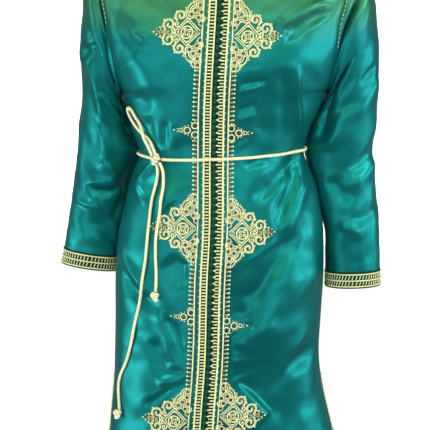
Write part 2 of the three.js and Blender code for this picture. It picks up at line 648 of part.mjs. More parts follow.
function makeSlitBraid(name, panel, atStart) {
  const slitRow = LEVELS.indexOf(SLIT_TOP_Z);
  const side = atStart ? 0 : panel.grid.length - 1;
  const inward = atStart ? 1 : -1;
  const first = alongColumn(panel, side, EDGE_BRAID + 1, false).point.z;
  const rows = wholeRows(rowAt(panel, side, first), slitRow);
  const widths = [EDGE_BACK, EDGE_BRAID / 2, EDGE_BRAID];
  const ordered = atStart ? widths : [...widths].reverse();
  const spots = ordered.map((width) => rows.map((row) => {
    const line = panelLine(panel, row);
    let i = side;
    let left = width;
    while (left > line[i].point.distanceTo(line[i + inward].point)) {
      left -= line[i].point.distanceTo(line[i + inward].point);
      i += inward;
    }
    const t = left / line[i].point.distanceTo(line[i + inward].point);
    const spot = {
      point: line[i].point.clone().lerp(line[i + inward].point, t),
      out: line[i].out.clone().lerp(line[i + inward].out, t).normalize(),
    };
    return lifted(spot, ON_PANEL);
  }));
  strip(name, spots, BRAID, GOLD_BRAID());
}

makeSlitBraid('slit_braid_front_right', panels.right, true);
makeSlitBraid('slit_braid_front_left', panels.left, false);
makeSlitBraid('slit_braid_back_left', panels.back, true);
makeSlitBraid('slit_braid_back_right', panels.back, false);

// ---- Sleeves: the first ring follows the armhole, the rest are the table's rings ----
function armholeRing(side) {
  const sign = side === 'right' ? -1 : 1;
  const front = panels[side].grid[side === 'right' ? 0 : panels.left.grid.length - 1];
  const back = panels.back.grid[side === 'left' ? 0 : panels.back.grid.length - 1];
  const underarm = LEVELS.length - 1;
  const ring = [];
  for (let row = ROWS - 1; row > underarm; row -= 1) ring.push(front[row].clone());
  ring[0].y = 0;
  const bottom = front[underarm].clone();
  bottom.y = 0;
  ring.push(bottom);
  for (let row = underarm + 1; row < ROWS - 1; row += 1) ring.push(back[row].clone());
  return ring.map((point) => point.add(new THREE.Vector3(sign * SEAM_GAP * 1.3, 0, 0)));
}

function sleeveFold(side, ring, turn) {
  let total = 0;
  for (const fold of SLEEVE_FOLDS.filter((row) => row.side === side)) {
    const round = Math.abs(((turn - fold.turn + 1.5) % 1) - 0.5);
    total += fold.high * Math.exp(-(((ring - fold.ring) / fold.rings) ** 2) - (round / fold.turns) ** 2);
  }
  return total;
}

function sleeveRing(side, index) {
  const sign = side === 'right' ? -1 : 1;
  const row = SLEEVES[side][index];
  const outer = new THREE.Vector3(sign * row.outX, row.y, row.outZ);
  const inner = new THREE.Vector3(sign * row.inX, row.y, row.inZ);
  const middle = outer.clone().add(inner).multiplyScalar(0.5);
  const reach = outer.clone().sub(middle);
  const count = ROWS_ABOVE * 2;
  return Array.from({ length: count }, (_, k) => {
    const turn = k / count;
    const c = Math.cos(turn * 2 * Math.PI);
    const s = Math.sin(turn * 2 * Math.PI);
    const across = Math.sign(c) * Math.abs(c) ** SLEEVE_SQUARE;
    const point = middle.clone().addScaledVector(reach, across);
    point.y -= row.depth * Math.sign(s) * Math.abs(s) ** SLEEVE_SQUARE;
    const out = point.clone().sub(middle).normalize();
    return point.addScaledVector(out, sleeveFold(side, index, turn));
  });
}

function makeSleeve(side) {
  const rings = [armholeRing(side), ...SLEEVES[side].map((_, index) => sleeveRing(side, index))];
  const count = rings[0].length;
  const columns = Array.from({ length: count }, (_, k) => rings.map((ring) => ring[k]));
  const grid = side === 'right' ? columns : [...columns].reverse();
  const flip = outwardNormals(grid, true);
  const centre = rings[5].reduce((sum, p) => sum.add(p), new THREE.Vector3()).divideScalar(count);
  const facing = Math.sign(flip[0][5].dot(grid[0][5].clone().sub(centre)));
  const normals = flip.map((column) => column.map((normal) => normal.multiplyScalar(facing)));
  grid.forEach((column, i) => {
    normals[i][0] = new THREE.Vector3(0, column[0].y, column[0].z - ARMHOLE_MID_Z).normalize();
  });
  const outer = facing > 0 ? grid : [...grid].reverse();
  const directions = facing > 0 ? normals : [...normals].reverse();
  add(`sleeve_${side}`, shell(outer, moved(outer, directions, -CLOTH), true), SATIN());
  const last = outer[0].length - 1;
  const cuffGrid = outer.map((column) => [column[last - 1], column[last]]);
  const cuffOut = directions.map((column) => [column[last - 1], column[last]]);
  const under = moved(cuffGrid, cuffOut, ON_PANEL);
  add(`cuff_braid_${side}`, shell(moved(under, cuffOut, BRAID), under, true), GOLD_BRAID());
}

makeSleeve('right');
makeSleeve('left');

// ---- Cord belt: round the waist from one side of its knot to the other ----
function cordGeometry(points, radius) {
  const section = new THREE.Shape();
  for (let k = 0; k < CORD_SIDES; k += 1) {
    const turn = (k / CORD_SIDES) * 2 * Math.PI;
    const place = [radius * Math.cos(turn), radius * Math.sin(turn)];
    if (k === 0) section.moveTo(...place);
    else section.lineTo(...place);
  }
  section.closePath();
  const path = new THREE.CatmullRomCurve3(points, false, 'centripetal');
  const geometry = new THREE.ExtrudeGeometry(section, {
    steps: Math.round(path.getLength() / (radius * 5)),
    extrudePath: path,
    bevelEnabled: false,
  });
  geometry.deleteAttribute('normal');
  geometry.deleteAttribute('uv');
  return mergeVertices(geometry, 0.001);
}

// A point a set distance outside the cloth.
function offBody(face, x, z, distance) {
  const step = 3;
  const half = halfWidth(sideOf(x), z);
  const near = clamp(x, -half + 3 * step, half - 3 * step);
  const across = bodyPoint(face, near + step, z).sub(bodyPoint(face, near - step, z));
  const upward = bodyPoint(face, near, z + step).sub(bodyPoint(face, near, z - step));
  const out = face === 'front' ? across.cross(upward) : upward.cross(across);
  return bodyPoint(face, x, z).addScaledVector(out.normalize(), distance);
}

const cordStand = CORD_RADIUS + CORD_OFF;
const trimStand = (x, z) => OVER_TRIM * (1 - smooth(COLUMN_TO + 2, COLUMN_TO + 20, Math.abs(x - placketX(z))));

function beltPoint(face, s) {
  const z = read(BELT_LEVELS, 's', face, s);
  const half = halfWidth(s < 0 ? 'right' : 'left', z);
  const x = s * half;
  if (Math.abs(s) > 0.999) return new THREE.Vector3(x + Math.sign(s) * cordStand, 0, z);
  return offBody(face, x, z, cordStand + (face === 'front' ? trimStand(x, z) : 0));
}

function makeBelt() {
  const knotShare = KNOT.x / halfWidth('right', KNOT.z);
  const gapShare = (KNOT.halfX + SEAM_GAP * 2) / halfWidth('right', KNOT.z);
  const frontRun = [...span(knotShare + gapShare, 0.96, 18), 0.99].map((s) => beltPoint('front', s));
  const backRun = [0.99, ...span(0.96, -0.96, 22), -0.99].map((s) => beltPoint('back', s));
  const shortRun = [-0.99, ...span(-0.96, knotShare - gapShare, 4)].map((s) => beltPoint('front', s));
  const points = [...frontRun, beltPoint('front', 1), ...backRun, beltPoint('front', -1), ...shortRun];
  add('belt_cord', cordGeometry(points, CORD_RADIUS), CREAM_CORD());
}
makeBelt();

function ballAt(centre, size) {
  const ball = new THREE.SphereGeometry(1, 12, 8);
  ball.scale(size.halfX, size.halfY, size.halfZ);
  ball.translate(centre.x, centre.y, centre.z);
  ball.deleteAttribute('normal');
  ball.deleteAttribute('uv');
  return mergeVertices(ball, 0.001);
}

const knotCentre = offBody('front', KNOT.x, KNOT.z, KNOT.halfY + CORD_OFF + 0.6);
add('belt_knot', ballAt(knotCentre, KNOT), CREAM_CORD());

const routePoint = (row) => offBody('front', row.x, row.z, cordStand + row.off);
add('bow_loop', cordGeometry(BOW.map(routePoint), CORD_RADIUS), CREAM_CORD());
for (const side of ['right', 'left']) {
  const route = TAILS[side];
  add(`belt_tail_${side}`, cordGeometry(route.map(routePoint), CORD_RADIUS), CREAM_CORD());
  const end = route[route.length - 1];
  const centre = offBody('front', end.x, end.z - TAIL_KNOT.halfZ - SEAM_GAP, TAIL_KNOT.halfY + CORD_OFF);
  add(`tail_knot_${side}`, ballAt(centre, TAIL_KNOT), CREAM_CORD());
}

export default tunic;
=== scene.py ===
# The looks of a short kaftan tunic: satin cloth, gold braid, couched cord work and a tied cord belt.
# Metres, +Z up. The front faces -Y, +X is the wearer's left.
# The origin is the middle of the neck opening, level with the neck ends of the shoulder seams.
import math

import bpy
import numpy as np
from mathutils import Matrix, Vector


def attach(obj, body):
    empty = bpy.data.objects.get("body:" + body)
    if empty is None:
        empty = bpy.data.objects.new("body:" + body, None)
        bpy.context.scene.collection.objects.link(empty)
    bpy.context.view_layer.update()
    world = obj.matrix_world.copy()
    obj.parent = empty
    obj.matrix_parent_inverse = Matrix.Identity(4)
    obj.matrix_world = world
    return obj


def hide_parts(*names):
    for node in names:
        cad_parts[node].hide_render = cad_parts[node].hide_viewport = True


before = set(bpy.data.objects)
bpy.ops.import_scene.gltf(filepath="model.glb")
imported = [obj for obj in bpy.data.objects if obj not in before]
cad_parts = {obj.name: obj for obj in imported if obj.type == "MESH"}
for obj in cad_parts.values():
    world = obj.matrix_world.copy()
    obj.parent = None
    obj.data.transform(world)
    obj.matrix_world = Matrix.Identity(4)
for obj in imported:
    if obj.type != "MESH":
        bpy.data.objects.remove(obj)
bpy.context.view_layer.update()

TAU = 2 * math.pi
SIDES = {"right": -1, "left": 1}


def table(columns, rows):
    """Rows of a table as dictionaries, one for each, under the names of its columns."""
    names = columns.split()
    return [dict(zip(names, row)) for row in rows]


def deselect():
    for piece in bpy.context.selected_objects:
        piece.select_set(False)


def alone(piece):
    deselect()
    piece.select_set(True)
    bpy.context.view_layer.objects.active = piece


# ---- Camera, floor and light ----
CAMERA_PLACE = (-0.0117, -2.6, -0.07)
CAMERA_AIM = (-0.0117, 0, -0.531)
LENS_MM = 113.37
FLOOR_Z = -1.43
BACKDROP_Y = 4.2
STUDIO_WIDE = 14

LIGHT_WIDE = 0.7
LIGHTS = table("name x y z aim_z high power color", [
    ("low_left", -0.98, -1.85, -1.2, -0.5, 0.4, 3, (1, 1, 1)),
    ("low_side_left", -1.95, -0.62, -1.2, -0.5, 0.4, 10, (1, 1, 1)),
    ("low_side_right", 2.05, -0.4, -1.2, -0.5, 0.4, 3, (1, 1, 1)),
    ("middle_left", -1.12, -2.11, -0.28, -0.45, 0.7, 4.2, (1, 1, 1)),
    ("near_middle_left", -0.42, -2.36, -0.28, -0.45, 0.7, 3, (0.9, 0.9, 1)),
    ("side_left", -2.36, -0.42, -0.28, -0.45, 0.7, 6, (1, 1, 0.9)),
    ("high_left", -0.91, -1.71, 0.96, -0.45, 0.7, 8.5, (1, 0.85, 0.42)),
    ("high_side_left", -1.91, -0.34, 0.96, -0.45, 0.7, 19.5, (0.8, 1, 1)),
    ("top", 0, -0.98, 1.74, -0.45, 0.7, 7.6, (0.9, 1, 0.6)),
    ("high_right", 0.54, -1.87, 0.96, -0.45, 0.7, 9.8, (1, 0.97, 0.72)),
    ("near_middle_right", 0.42, -2.36, -0.28, -0.45, 0.7, 5.6, (0.9, 1, 1)),
    ("middle_right", 1.89, -1.47, -0.28, -0.45, 0.7, 12, (1, 0.97, 1)),
    ("high_side_right", 1.53, -1.2, 0.96, -0.45, 0.7, 19.4, (0.85, 1, 0.85)),
    ("side_right", 2.36, -0.42, -0.28, -0.45, 0.7, 12, (1, 0.97, 1)),
])
WORLD_COLOR = (0.8, 0.9, 0.9, 1)
WORLD_STRENGTH = 0.25


def aim(piece, place, target):
    """Stands a camera or light at a place, pointing at a target."""
    piece.location = place
    direction = Vector(target) - Vector(place)
    piece.rotation_euler = direction.to_track_quat("-Z", "Y").to_euler()


def make_camera():
    bpy.ops.object.camera_add()
    camera = bpy.context.object
    camera.name = "camera"
    camera.data.lens = LENS_MM
    camera.data.sensor_width = 36
    camera.data.clip_end = 50
    aim(camera, CAMERA_PLACE, CAMERA_AIM)
    bpy.context.scene.camera = camera


def make_lights():
    for row in LIGHTS:
        bpy.ops.object.light_add(type="AREA")
        light = bpy.context.object
        light.name = row["name"]
        light.data.shape = "RECTANGLE"
        light.data.size = LIGHT_WIDE
        light.data.size_y = row["high"]
        light.data.energy = row["power"]
        light.data.color = row["color"]
        light.visible_camera = False
        aim(light, (row["x"], row["y"], row["z"]), (0, 0, row["aim_z"]))
    world = bpy.data.worlds.new("studio")
    world.use_nodes = True
    background = world.node_tree.nodes["Background"]
    background.inputs["Color"].default_value = WORLD_COLOR
    background.inputs["Strength"].default_value = WORLD_STRENGTH
    bpy.context.scene.world = world
    bpy.context.scene.view_settings.view_transform = "Standard"


# ---- Shader maths ----
class Value:
    """One output socket of a material's nodes. Sums on it add Math nodes."""

    def __init__(self, tree, socket):
        self.tree = tree
        self.socket = socket

    def math(self, operation, first, second=0.0):
        node = self.tree.nodes.new("ShaderNodeMath")
        node.operation = operation
        for slot, item in zip(node.inputs, (first, second)):
            if isinstance(item, Value):
                self.tree.links.new(item.socket, slot)
            else:
                slot.default_value = item
        return Value(self.tree, node.outputs[0])

    def __add__(self, other):
        return self.math("ADD", self, other)

    def __sub__(self, other):
        return self.math("SUBTRACT", self, other)

    def __mul__(self, other):
        return self.math("MULTIPLY", self, other)

    def __rsub__(self, other):
        return self.math("SUBTRACT", other, self)

    __radd__ = __add__
    __rmul__ = __mul__

    def sine(self):
        return self.math("SINE", self)


class Finish:
    """A material on the Principled shader, with one way to add any node."""

    def __init__(self, name, **constants):
        self.material = bpy.data.materials.new(name)
        self.material.use_nodes = True
        self.tree = self.material.node_tree
        self.shader = self.tree.nodes["Principled BSDF"]
        for socket, value in constants.items():
            self.shader.inputs[socket.replace("_", " ")].default_value = value

    def feed(self, slot, item):
        if isinstance(item, Value):
            self.tree.links.new(item.socket, slot)
        else:
            slot.default_value = item

    def node(self, kind, settings=None, sockets=None, out=0):
        made = self.tree.nodes.new("ShaderNode" + kind)
        for key, setting in (settings or {}).items():
            setattr(made, key, setting)
        for key, item in (sockets or {}).items():
            self.feed(made.inputs[key], item)
        return Value(self.tree, made.outputs[out])

    def place(self, kind="Object"):
        return self.node("TexCoord", out=kind)

    def noise(self, scale, detail):
        sockets = {"Vector": self.place(), "Scale": scale, "Detail": detail}
        return self.node("TexNoise", sockets=sockets)

    def blend(self, factor, first, second):
        """A color between two, by a factor."""
        sockets = {0: factor, 6: first, 7: second}
        return self.node("Mix", {"data_type": "RGBA"}, sockets, out=2)

    def between(self, value, low, high):
        """A value taken from its span low to high onto 0 to 1, and held there."""
        sockets = {"Value": value, "From Min": low, "From Max": high}
        return self.node("MapRange", {"clamp": True}, sockets)

    def bump(self, height, distance, strength):
        sockets = {"Height": height, "Distance": distance, "Strength": strength}
        self.feed(self.shader.inputs["Normal"], self.node("Bump", sockets=sockets))

    def color(self, value):
        self.feed(self.shader.inputs["Base Color"], value)

    def rough(self, value):
        self.feed(self.shader.inputs["Roughness"], value)


def split_uv(finish):
    """The metres along and across a piece, from its own UV map."""
    uv = finish.place("UV")
    along = finish.node("SeparateXYZ", sockets={"Vector": uv}, out="X")
    across = finish.node("SeparateXYZ", sockets={"Vector": uv}, out="Y")
    return along, across


# The dark and the light color of each finish.
# For the gold and the cream the dark color shows in random specks and, as painted shade, in the creases
# between the strands.
GOLD_COLORS = ((0.42, 0.4, 0.15, 1), (0.95, 0.98, 0.58, 1))
# The gold's painted shade along the sides and underside of its threads and at the foot of its beads and
# knobs.
GOLD_PAINTED_SHADE = (0.05, 0.048, 0.012, 1)
CREAM_COLORS = ((0.46, 0.37, 0.17, 1), (0.88, 0.85, 0.58, 1))
GROUND_COLORS = ((0.001, 0.014, 0.008, 1), (0.003, 0.055, 0.034, 1))
KNOT_COLORS = ((0.002, 0.04, 0.024, 1), (0.008, 0.13, 0.08, 1))
SEQUIN_COLORS = ((0.045, 0.085, 0.13, 1), (0.16, 0.13, 0.05, 1))
PEARL_COLORS = ((0.62, 0.66, 0.56, 1), (0.9, 0.93, 0.84, 1))
SATIN_DEEP = (0.004, 0.148, 0.147, 1)
SATIN_BRIGHT = (0.007, 0.225, 0.223, 1)
# The olive of a painted reflection of warm light on the satin's upper chest and shoulders.
SATIN_PAINTED_REFLECTION = (0.055, 0.19, 0.068, 1)
# The width of the satin's threads, across it and along it.
SATIN_WARP = 0.0007
SATIN_WEFT = 0.0011


def satin_finish():
    """Heavy satin: fine threads, a soft drift of color, a painted olive reflection of warm light over the
    shoulders and upper chest, small ripples.
    """
    finish = Finish("teal_satin", Metallic=0.75, Specular_IOR_Level=0.08)
    drift = finish.noise(5, 2)
    thread = finish.noise(900, 1)
    shade = finish.between(drift * 0.85 + thread * 0.15, 0.3, 0.7)
    height = finish.node("SeparateXYZ", sockets={"Vector": finish.place()}, out="Z")
    # Painted reflection: the satin turns olive green above this level, as if it reflected a warm light from
    # above.
    painted_reflection = finish.between(height + drift * 0.12, -0.14, -0.045)
    teal = finish.blend(shade, SATIN_DEEP, SATIN_BRIGHT)
    finish.color(finish.blend(painted_reflection * 0.75, teal, SATIN_PAINTED_REFLECTION))
    finish.rough(finish.between(drift, 0.2, 0.8) * 0.06 + 0.33)
    along, across = split_uv(finish)
    weave = (along * (TAU / SATIN_WARP)).sine() * (across * (TAU / SATIN_WEFT)).sine()
    ripple = finish.noise(38, 2)
    finish.bump(weave * 0.02 + ripple * 1.4, 0.001, 0.55)
    return finish.material


def thread_finish(name, dark, light, metal, pitch, roughness, rim=None):
    """Twisted thread: slanting strands with painted shade in the creases between them, and, when a rim
    color is given, painted shade along the thread's sides and underside, where it is sewn down.
    """
    finish = Finish(name, Metallic=metal, Specular_IOR_Level=0.5)
    along, across = split_uv(finish)
    strand = (along * (TAU / pitch) + across * (TAU * 2)).sine() * 0.5 + 0.5
    speck = finish.noise(620, 2)
    # The strands' color: painted shade in the creases between strands, mixed with random dark specks.
    shade = finish.between(strand * 0.35 + speck * 1.3, 0.5, 0.98)
    strand_color = finish.blend(shade, dark, light)
    # Painted shade: the thread's sides and underside take the shade color, and its top keeps the strand
    # color.
    if rim:
        crown = finish.between((across * TAU).sine(), 0.2, 0.85)
        strand_color = finish.blend(crown, rim, strand_color)
    finish.color(strand_color)
    finish.rough(speck * 0.2 + roughness)
    finish.bump(strand + speck * 0.6, 0.0004, 0.7)
    return finish.material


def silk_finish(name, dark, light):
    """Plaited dark green silk."""
    finish = Finish(name, Roughness=0.6, Specular_IOR_Level=0.12)
    along, across = split_uv(finish)
    plait = (along * (TAU / 0.003)).sine() * (across * (TAU / 0.002)).sine() * 0.5 + 0.5
    speck = finish.noise(500, 2)
    shade = plait * 0.6 + speck * 0.4
    finish.color(finish.blend(shade, dark, light))
    finish.bump(plait + speck * 0.4, 0.0006, 0.8)
    return finish.material


def sequin_finish():
    """Small dark sequins with a blue and bronze glint."""
    finish = Finish("dark_sequins", Metallic=0.9, Roughness=0.22, Coat_Weight=0.4)
    drift = finish.between(finish.noise(140, 0), 0.4, 0.6)
    finish.color(finish.blend(drift, *SEQUIN_COLORS))
    finish.bump(finish.noise(900, 1), 0.0002, 0.5)
    return finish.material


def pearl_finish():
    """The pale beads at the belt's tips."""
    finish = Finish("tip_pearl", Roughness=0.35, Coat_Weight=0.3)
    drift = finish.between(finish.noise(260, 1), 0.35, 0.65)
    finish.color(finish.blend(drift, *PEARL_COLORS))
    finish.bump(finish.noise(700, 1), 0.0002, 0.5)
    return finish.material


def studio_finish(name, color, glow):
    """Matt paint that glows a little of its own."""
    finish = Finish(name, Base_Color=color, Roughness=0.9, Specular_IOR_Level=0.1,
                    Emission_Color=(1, 1, 1, 1), Emission_Strength=glow)
    return finish.material


def make_studio():
    pale = studio_finish("pale_floor", (0.86, 0.86, 0.85, 1), 0.25)
    white = studio_finish("white_backdrop", (0.9, 0.9, 0.9, 1), 1.0)
    sheets = (("floor", (0, 0, FLOOR_Z), 0, pale), ("backdrop", (0, BACKDROP_Y, 4), math.pi / 2, white))
    for name, place, turn, paint in sheets:
        bpy.ops.mesh.primitive_plane_add(size=STUDIO_WIDE, location=place, rotation=(turn, 0, 0))
        sheet = bpy.context.object
        sheet.name = name
        sheet.data.materials.append(paint)
        sheet.visible_glossy = False


# ---- Sizes of the cloth and its form ----
CLOTH = 0.0014
NECK_HALF = 0.078
NECK_DROP = {"front": 0.084, "back": 0.018}
SHOULDER_SLOPE = 0.31
SHOULDER_ROUND = 0.105
UNDERARM_Z = -0.285
ARMHOLE_MID_Z = -0.165
ARMHOLE_DEPTH = 0.052
ROUNDNESS = 2.4
HEM_BASE_Z = -1.0
HEM_FADE = 0.15
SLIT_TOP_Z = -0.85
SLIT_SPREAD = 0.016

BODY = table("z right left front back", [
    (0.03, 0.222, 0.233, 0.062, 0.074), (-0.045, 0.224, 0.236, 0.066, 0.086),
    (-0.084, 0.222, 0.235, 0.078, 0.093), (-0.117, 0.219, 0.231, 0.092, 0.097),
    (-0.16, 0.213, 0.221, 0.108, 0.099), (-0.204, 0.208, 0.217, 0.12, 0.097),
    (-0.245, 0.199, 0.21, 0.121, 0.092), (-0.285, 0.19, 0.202, 0.115, 0.087),
    (-0.32, 0.181, 0.19, 0.107, 0.081), (-0.36, 0.173, 0.172, 0.099, 0.074),
    (-0.406, 0.157, 0.16, 0.093, 0.068), (-0.44, 0.168, 0.173, 0.098, 0.076),
    (-0.465, 0.177, 0.183, 0.103, 0.083), (-0.5, 0.185, 0.191, 0.109, 0.091),
    (-0.55, 0.197, 0.199, 0.114, 0.1), (-0.6, 0.204, 0.201, 0.117, 0.104),
    (-0.65, 0.207, 0.201, 0.118, 0.105), (-0.73, 0.208, 0.197, 0.119, 0.103),
    (-0.8, 0.21, 0.194, 0.121, 0.102), (-0.855, 0.212, 0.199, 0.124, 0.103),
    (-0.9, 0.216, 0.208, 0.126, 0.106), (-0.955, 0.221, 0.221, 0.128, 0.11),
    (-1.01, 0.226, 0.23, 0.13, 0.114),
])
PLACKET = table("z x", [
    (0.03, 0), (-0.084, 0), (-0.205, -0.0065), (-0.29, -0.011), (-0.4, -0.013),
    (-0.54, -0.014), (-0.64, -0.019), (-0.79, -0.023), (-0.9, -0.031), (-1.01, -0.038),
])
HEM = table("s front back", [
    (-1.1, -0.976, -0.976), (-0.85, -0.984, -0.982), (-0.4, -0.998, -0.992), (0, -1.002, -0.994),
    (0.4, -0.994, -0.988), (0.85, -0.966, -0.968), (1.1, -0.95, -0.954),
])
MOTIFS = table("name right left reach half big", [
    ("chest", -0.173, -0.18, 0.117, 0.07, True),
    ("above_belt", -0.353, -0.359, 0.074, 0.024, False),
    ("hip", -0.537, -0.545, 0.117, 0.068, True),
    ("thigh", -0.706, -0.722, 0.076, 0.024, False),
    ("hem", -0.909, -0.897, 0.119, 0.07, True),
])
COLUMN_EDGE = 0.039

# How far beside the stiff cord work the front's creases fade out.
CREASE_FADE = 0.016

# ---- Creases of the body: the line each follows, how far it bows, its half width and height ----
# steep narrows its left side, as it runs.
CREASE_COLUMNS = "x1 z1 x2 z2 bow wide high steep"
CREASES = {
    "front": table(CREASE_COLUMNS, [
        (0.151, -0.409, 0.067, -0.486, 0.002, 0.0171, -0.0114, 0.7),
        (0.148, -0.414, 0.105, -0.534, -0.004, 0.0133, -0.0095, 0.7),
        (0.162, -0.448, 0.118, -0.562, 0, 0.0152, 0.0076, 1),
        (0.155, -0.535, 0.047, -0.696, 0.004, 0.019, -0.0123, 0.8),
        (0.051, -0.689, 0.017, -0.746, 0, 0.0171, -0.0066, 0.8),
        (0.191, -0.604, 0.032, -0.793, 0.004, 0.0418, 0.0133, 0.8),
        (0.2, -0.774, 0.036, -0.871, 0, 0.0247, -0.0095, 0.8),
        (0.164, -0.745, 0.066, -0.872, 0, 0.0152, 0.0057, 0.8),
        (0.152, -0.916, 0.007, -0.915, 0, 0.0798, -0.0152, 1),
        (0.02, -0.607, 0.112, -0.557, 0.002, 0.0066, 0.0038, 0.8),
        (0.013, -0.588, 0.076, -0.571, 0, 0.0057, -0.0029, 0.8),
        (0.009, -0.736, 0.051, -0.764, 0, 0.0057, 0.003, 0.7),
        (0.009, -0.793, 0.062, -0.788, 0, 0.0057, 0.003, 0.7),
        (0.009, -0.76, 0.043, -0.774, 0, 0.0057, -0.0023, 0.7),
        (0.013, -0.835, 0.07, -0.814, 0, 0.0066, 0.0034, 0.7),
        (-0.131, -0.421, -0.169, -0.461, -0.004, 0.0076, 0.0066, 0.7),
        (-0.169, -0.461, -0.14, -0.495, 0, 0.0076, 0.0057, 0.7),
        (-0.1, -0.467, -0.104, -0.561, 0, 0.0171, 0.0076, 1),
        (-0.201, -0.571, -0.141, -0.669, 0.006, 0.0133, 0.0086, 0.7),
        (-0.193, -0.623, -0.122, -0.692, 0.006, 0.0171, -0.0104, 0.8),
        (-0.1, -0.594, -0.059, -0.642, 0, 0.0285, -0.0114, 1),
        (-0.105, -0.706, -0.071, -0.771, 0, 0.0114, -0.0086, 0.7),
        (-0.122, -0.7, -0.088, -0.766, 0, 0.0133, 0.0066, 0.8),
        (-0.13, -0.756, -0.105, -0.82, 0, 0.0152, -0.0076, 0.9),
        (-0.121, -0.821, -0.071, -0.811, 0, 0.0076, -0.0046, 0.8),
        (-0.121, -0.837, -0.071, -0.827, 0, 0.0076, 0.0038, 0.8),
        (-0.144, -0.887, -0.094, -0.85, 0, 0.0114, -0.0066, 0.8),
        (-0.201, -0.733, -0.204, -0.877, 0, 0.0152, 0.0057, 1),
        (-0.172, -0.203, -0.113, -0.283, 0, 0.0266, 0.0076, 1),
        (-0.159, -0.289, -0.133, -0.318, 0, 0.0125, -0.0034, 1),
        (-0.103, -0.34, -0.107, -0.388, 0, 0.0086, -0.0032, 0.8),
        (-0.088, -0.335, -0.085, -0.393, 0, 0.0095, 0.0026, 0.8),
        (-0.137, -0.334, -0.131, -0.396, 0, 0.0133, -0.004, 0.8),
        (-0.187, -0.152, -0.149, -0.198, 0, 0.0125, -0.0034, 0.8),
        (-0.164, -0.173, -0.127, -0.187, 0, 0.0076, 0.0038, 0.8),
        (0.193, -0.119, 0.096, -0.169, 0.002, 0.0114, 0.0076, 0.7),
        (0.2, -0.134, 0.111, -0.187, 0.002, 0.0114, -0.0076, 0.7),
        (0.141, -0.242, 0.149, -0.374, 0.001, 0.0095, 0.0061, 0.5),
        (0.089, -0.275, 0.076, -0.373, 0, 0.019, -0.004, 1),
        (0.118, -0.242, 0.114, -0.375, 0, 0.0152, -0.0045, 1),
        (0.032, -0.267, 0.085, -0.26, 0, 0.0057, -0.0038, 0.8),
        (0.03, -0.281, 0.075, -0.271, 0, 0.0057, 0.0038, 0.8),
        (0.031, -0.319, 0.064, -0.304, 0, 0.0066, -0.0047, 0.8),
        (0.027, -0.334, 0.064, -0.323, 0, 0.0066, 0.0038, 0.8),
        (0.027, -0.384, 0.053, -0.369, 0, 0.0057, 0.0029, 0.8),
        (0.042, -0.422, 0.084, -0.408, 0, 0.0076, -0.0047, 0.8),
    ]),
    "back": table(CREASE_COLUMNS, [
        (0.06, -0.26, 0.066, -0.402, 0, 0.018, -0.007, 0.8),
        (-0.07, -0.25, -0.06, -0.402, 0, 0.018, -0.007, 0.8),
        (0.01, -0.3, 0.004, -0.402, 0, 0.014, 0.005, 0.8),
        (0.09, -0.415, 0.12, -0.7, 0, 0.02, -0.007, 0.8),
        (0.02, -0.415, 0.03, -0.64, 0, 0.018, -0.006, 0.8),
        (-0.06, -0.415, -0.09, -0.74, 0, 0.02, -0.007, 0.8),
        (-0.15, -0.56, -0.12, -0.94, 0, 0.024, 0.007, 0.8),
        (0.06, -0.7, 0.08, -1, 0, 0.024, 0.007, 0.8),
    ]),
}

# ---- Sleeves, a row for each ring: outer and inner ends, middle and half depth in Y ----
SLEEVE_COLUMNS = "out_x out_z in_x in_z y depth"
SLEEVES = {
    "right": table(SLEEVE_COLUMNS, [
        (0.246, -0.06, 0.194, -0.29, 0.004, 0.057), (0.259, -0.093, 0.195, -0.3, 0.01, 0.061),
        (0.265, -0.145, 0.193, -0.314, 0.018, 0.062), (0.268, -0.21, 0.183, -0.338, 0.027, 0.06),
        (0.269, -0.26, 0.176, -0.36, 0.032, 0.058), (0.269, -0.31, 0.165, -0.386, 0.037, 0.055),
        (0.276, -0.372, 0.159, -0.424, 0.043, 0.051), (0.283, -0.425, 0.169, -0.462, 0.047, 0.048),
        (0.291, -0.48, 0.18, -0.505, 0.05, 0.045), (0.299, -0.53, 0.19, -0.548, 0.052, 0.042),
        (0.306, -0.572, 0.198, -0.588, 0.053, 0.04), (0.311, -0.604, 0.203, -0.62, 0.053, 0.038),
        (0.317, -0.635, 0.207, -0.651, 0.053, 0.038),
    ]),
    "left": table(SLEEVE_COLUMNS, [
        (0.262, -0.06, 0.206, -0.29, 0.004, 0.057), (0.283, -0.092, 0.207, -0.299, 0.008, 0.061),
        (0.295, -0.14, 0.205, -0.312, 0.013, 0.062), (0.301, -0.205, 0.197, -0.334, 0.018, 0.061),
        (0.303, -0.26, 0.186, -0.355, 0.021, 0.059), (0.301, -0.315, 0.175, -0.38, 0.023, 0.056),
        (0.297, -0.371, 0.17, -0.411, 0.024, 0.052), (0.297, -0.428, 0.177, -0.452, 0.024, 0.049),
        (0.301, -0.487, 0.189, -0.503, 0.022, 0.046), (0.307, -0.545, 0.2, -0.555, 0.019, 0.043),
        (0.31, -0.598, 0.206, -0.603, 0.015, 0.04), (0.312, -0.639, 0.207, -0.642, 0.012, 0.038),
        (0.313, -0.6705, 0.207, -0.6735, 0.011, 0.038),
    ]),
}
SLEEVE_SQUARE = 0.92
# How far the inside of each sleeve reaches in behind the body's side: most at the tuck's ring,
# over so many rings to both sides of it, and a share of that back.
SLEEVE_TUCK = {"right": 0.014, "left": 0.012}
TUCK_RING = 3.5
TUCK_RINGS = 2.6
TUCK_BACK = 0.6
RINGS = len(SLEEVES["right"])
RING_STEP = 0.05
SLEEVE_ROUND = 0.31

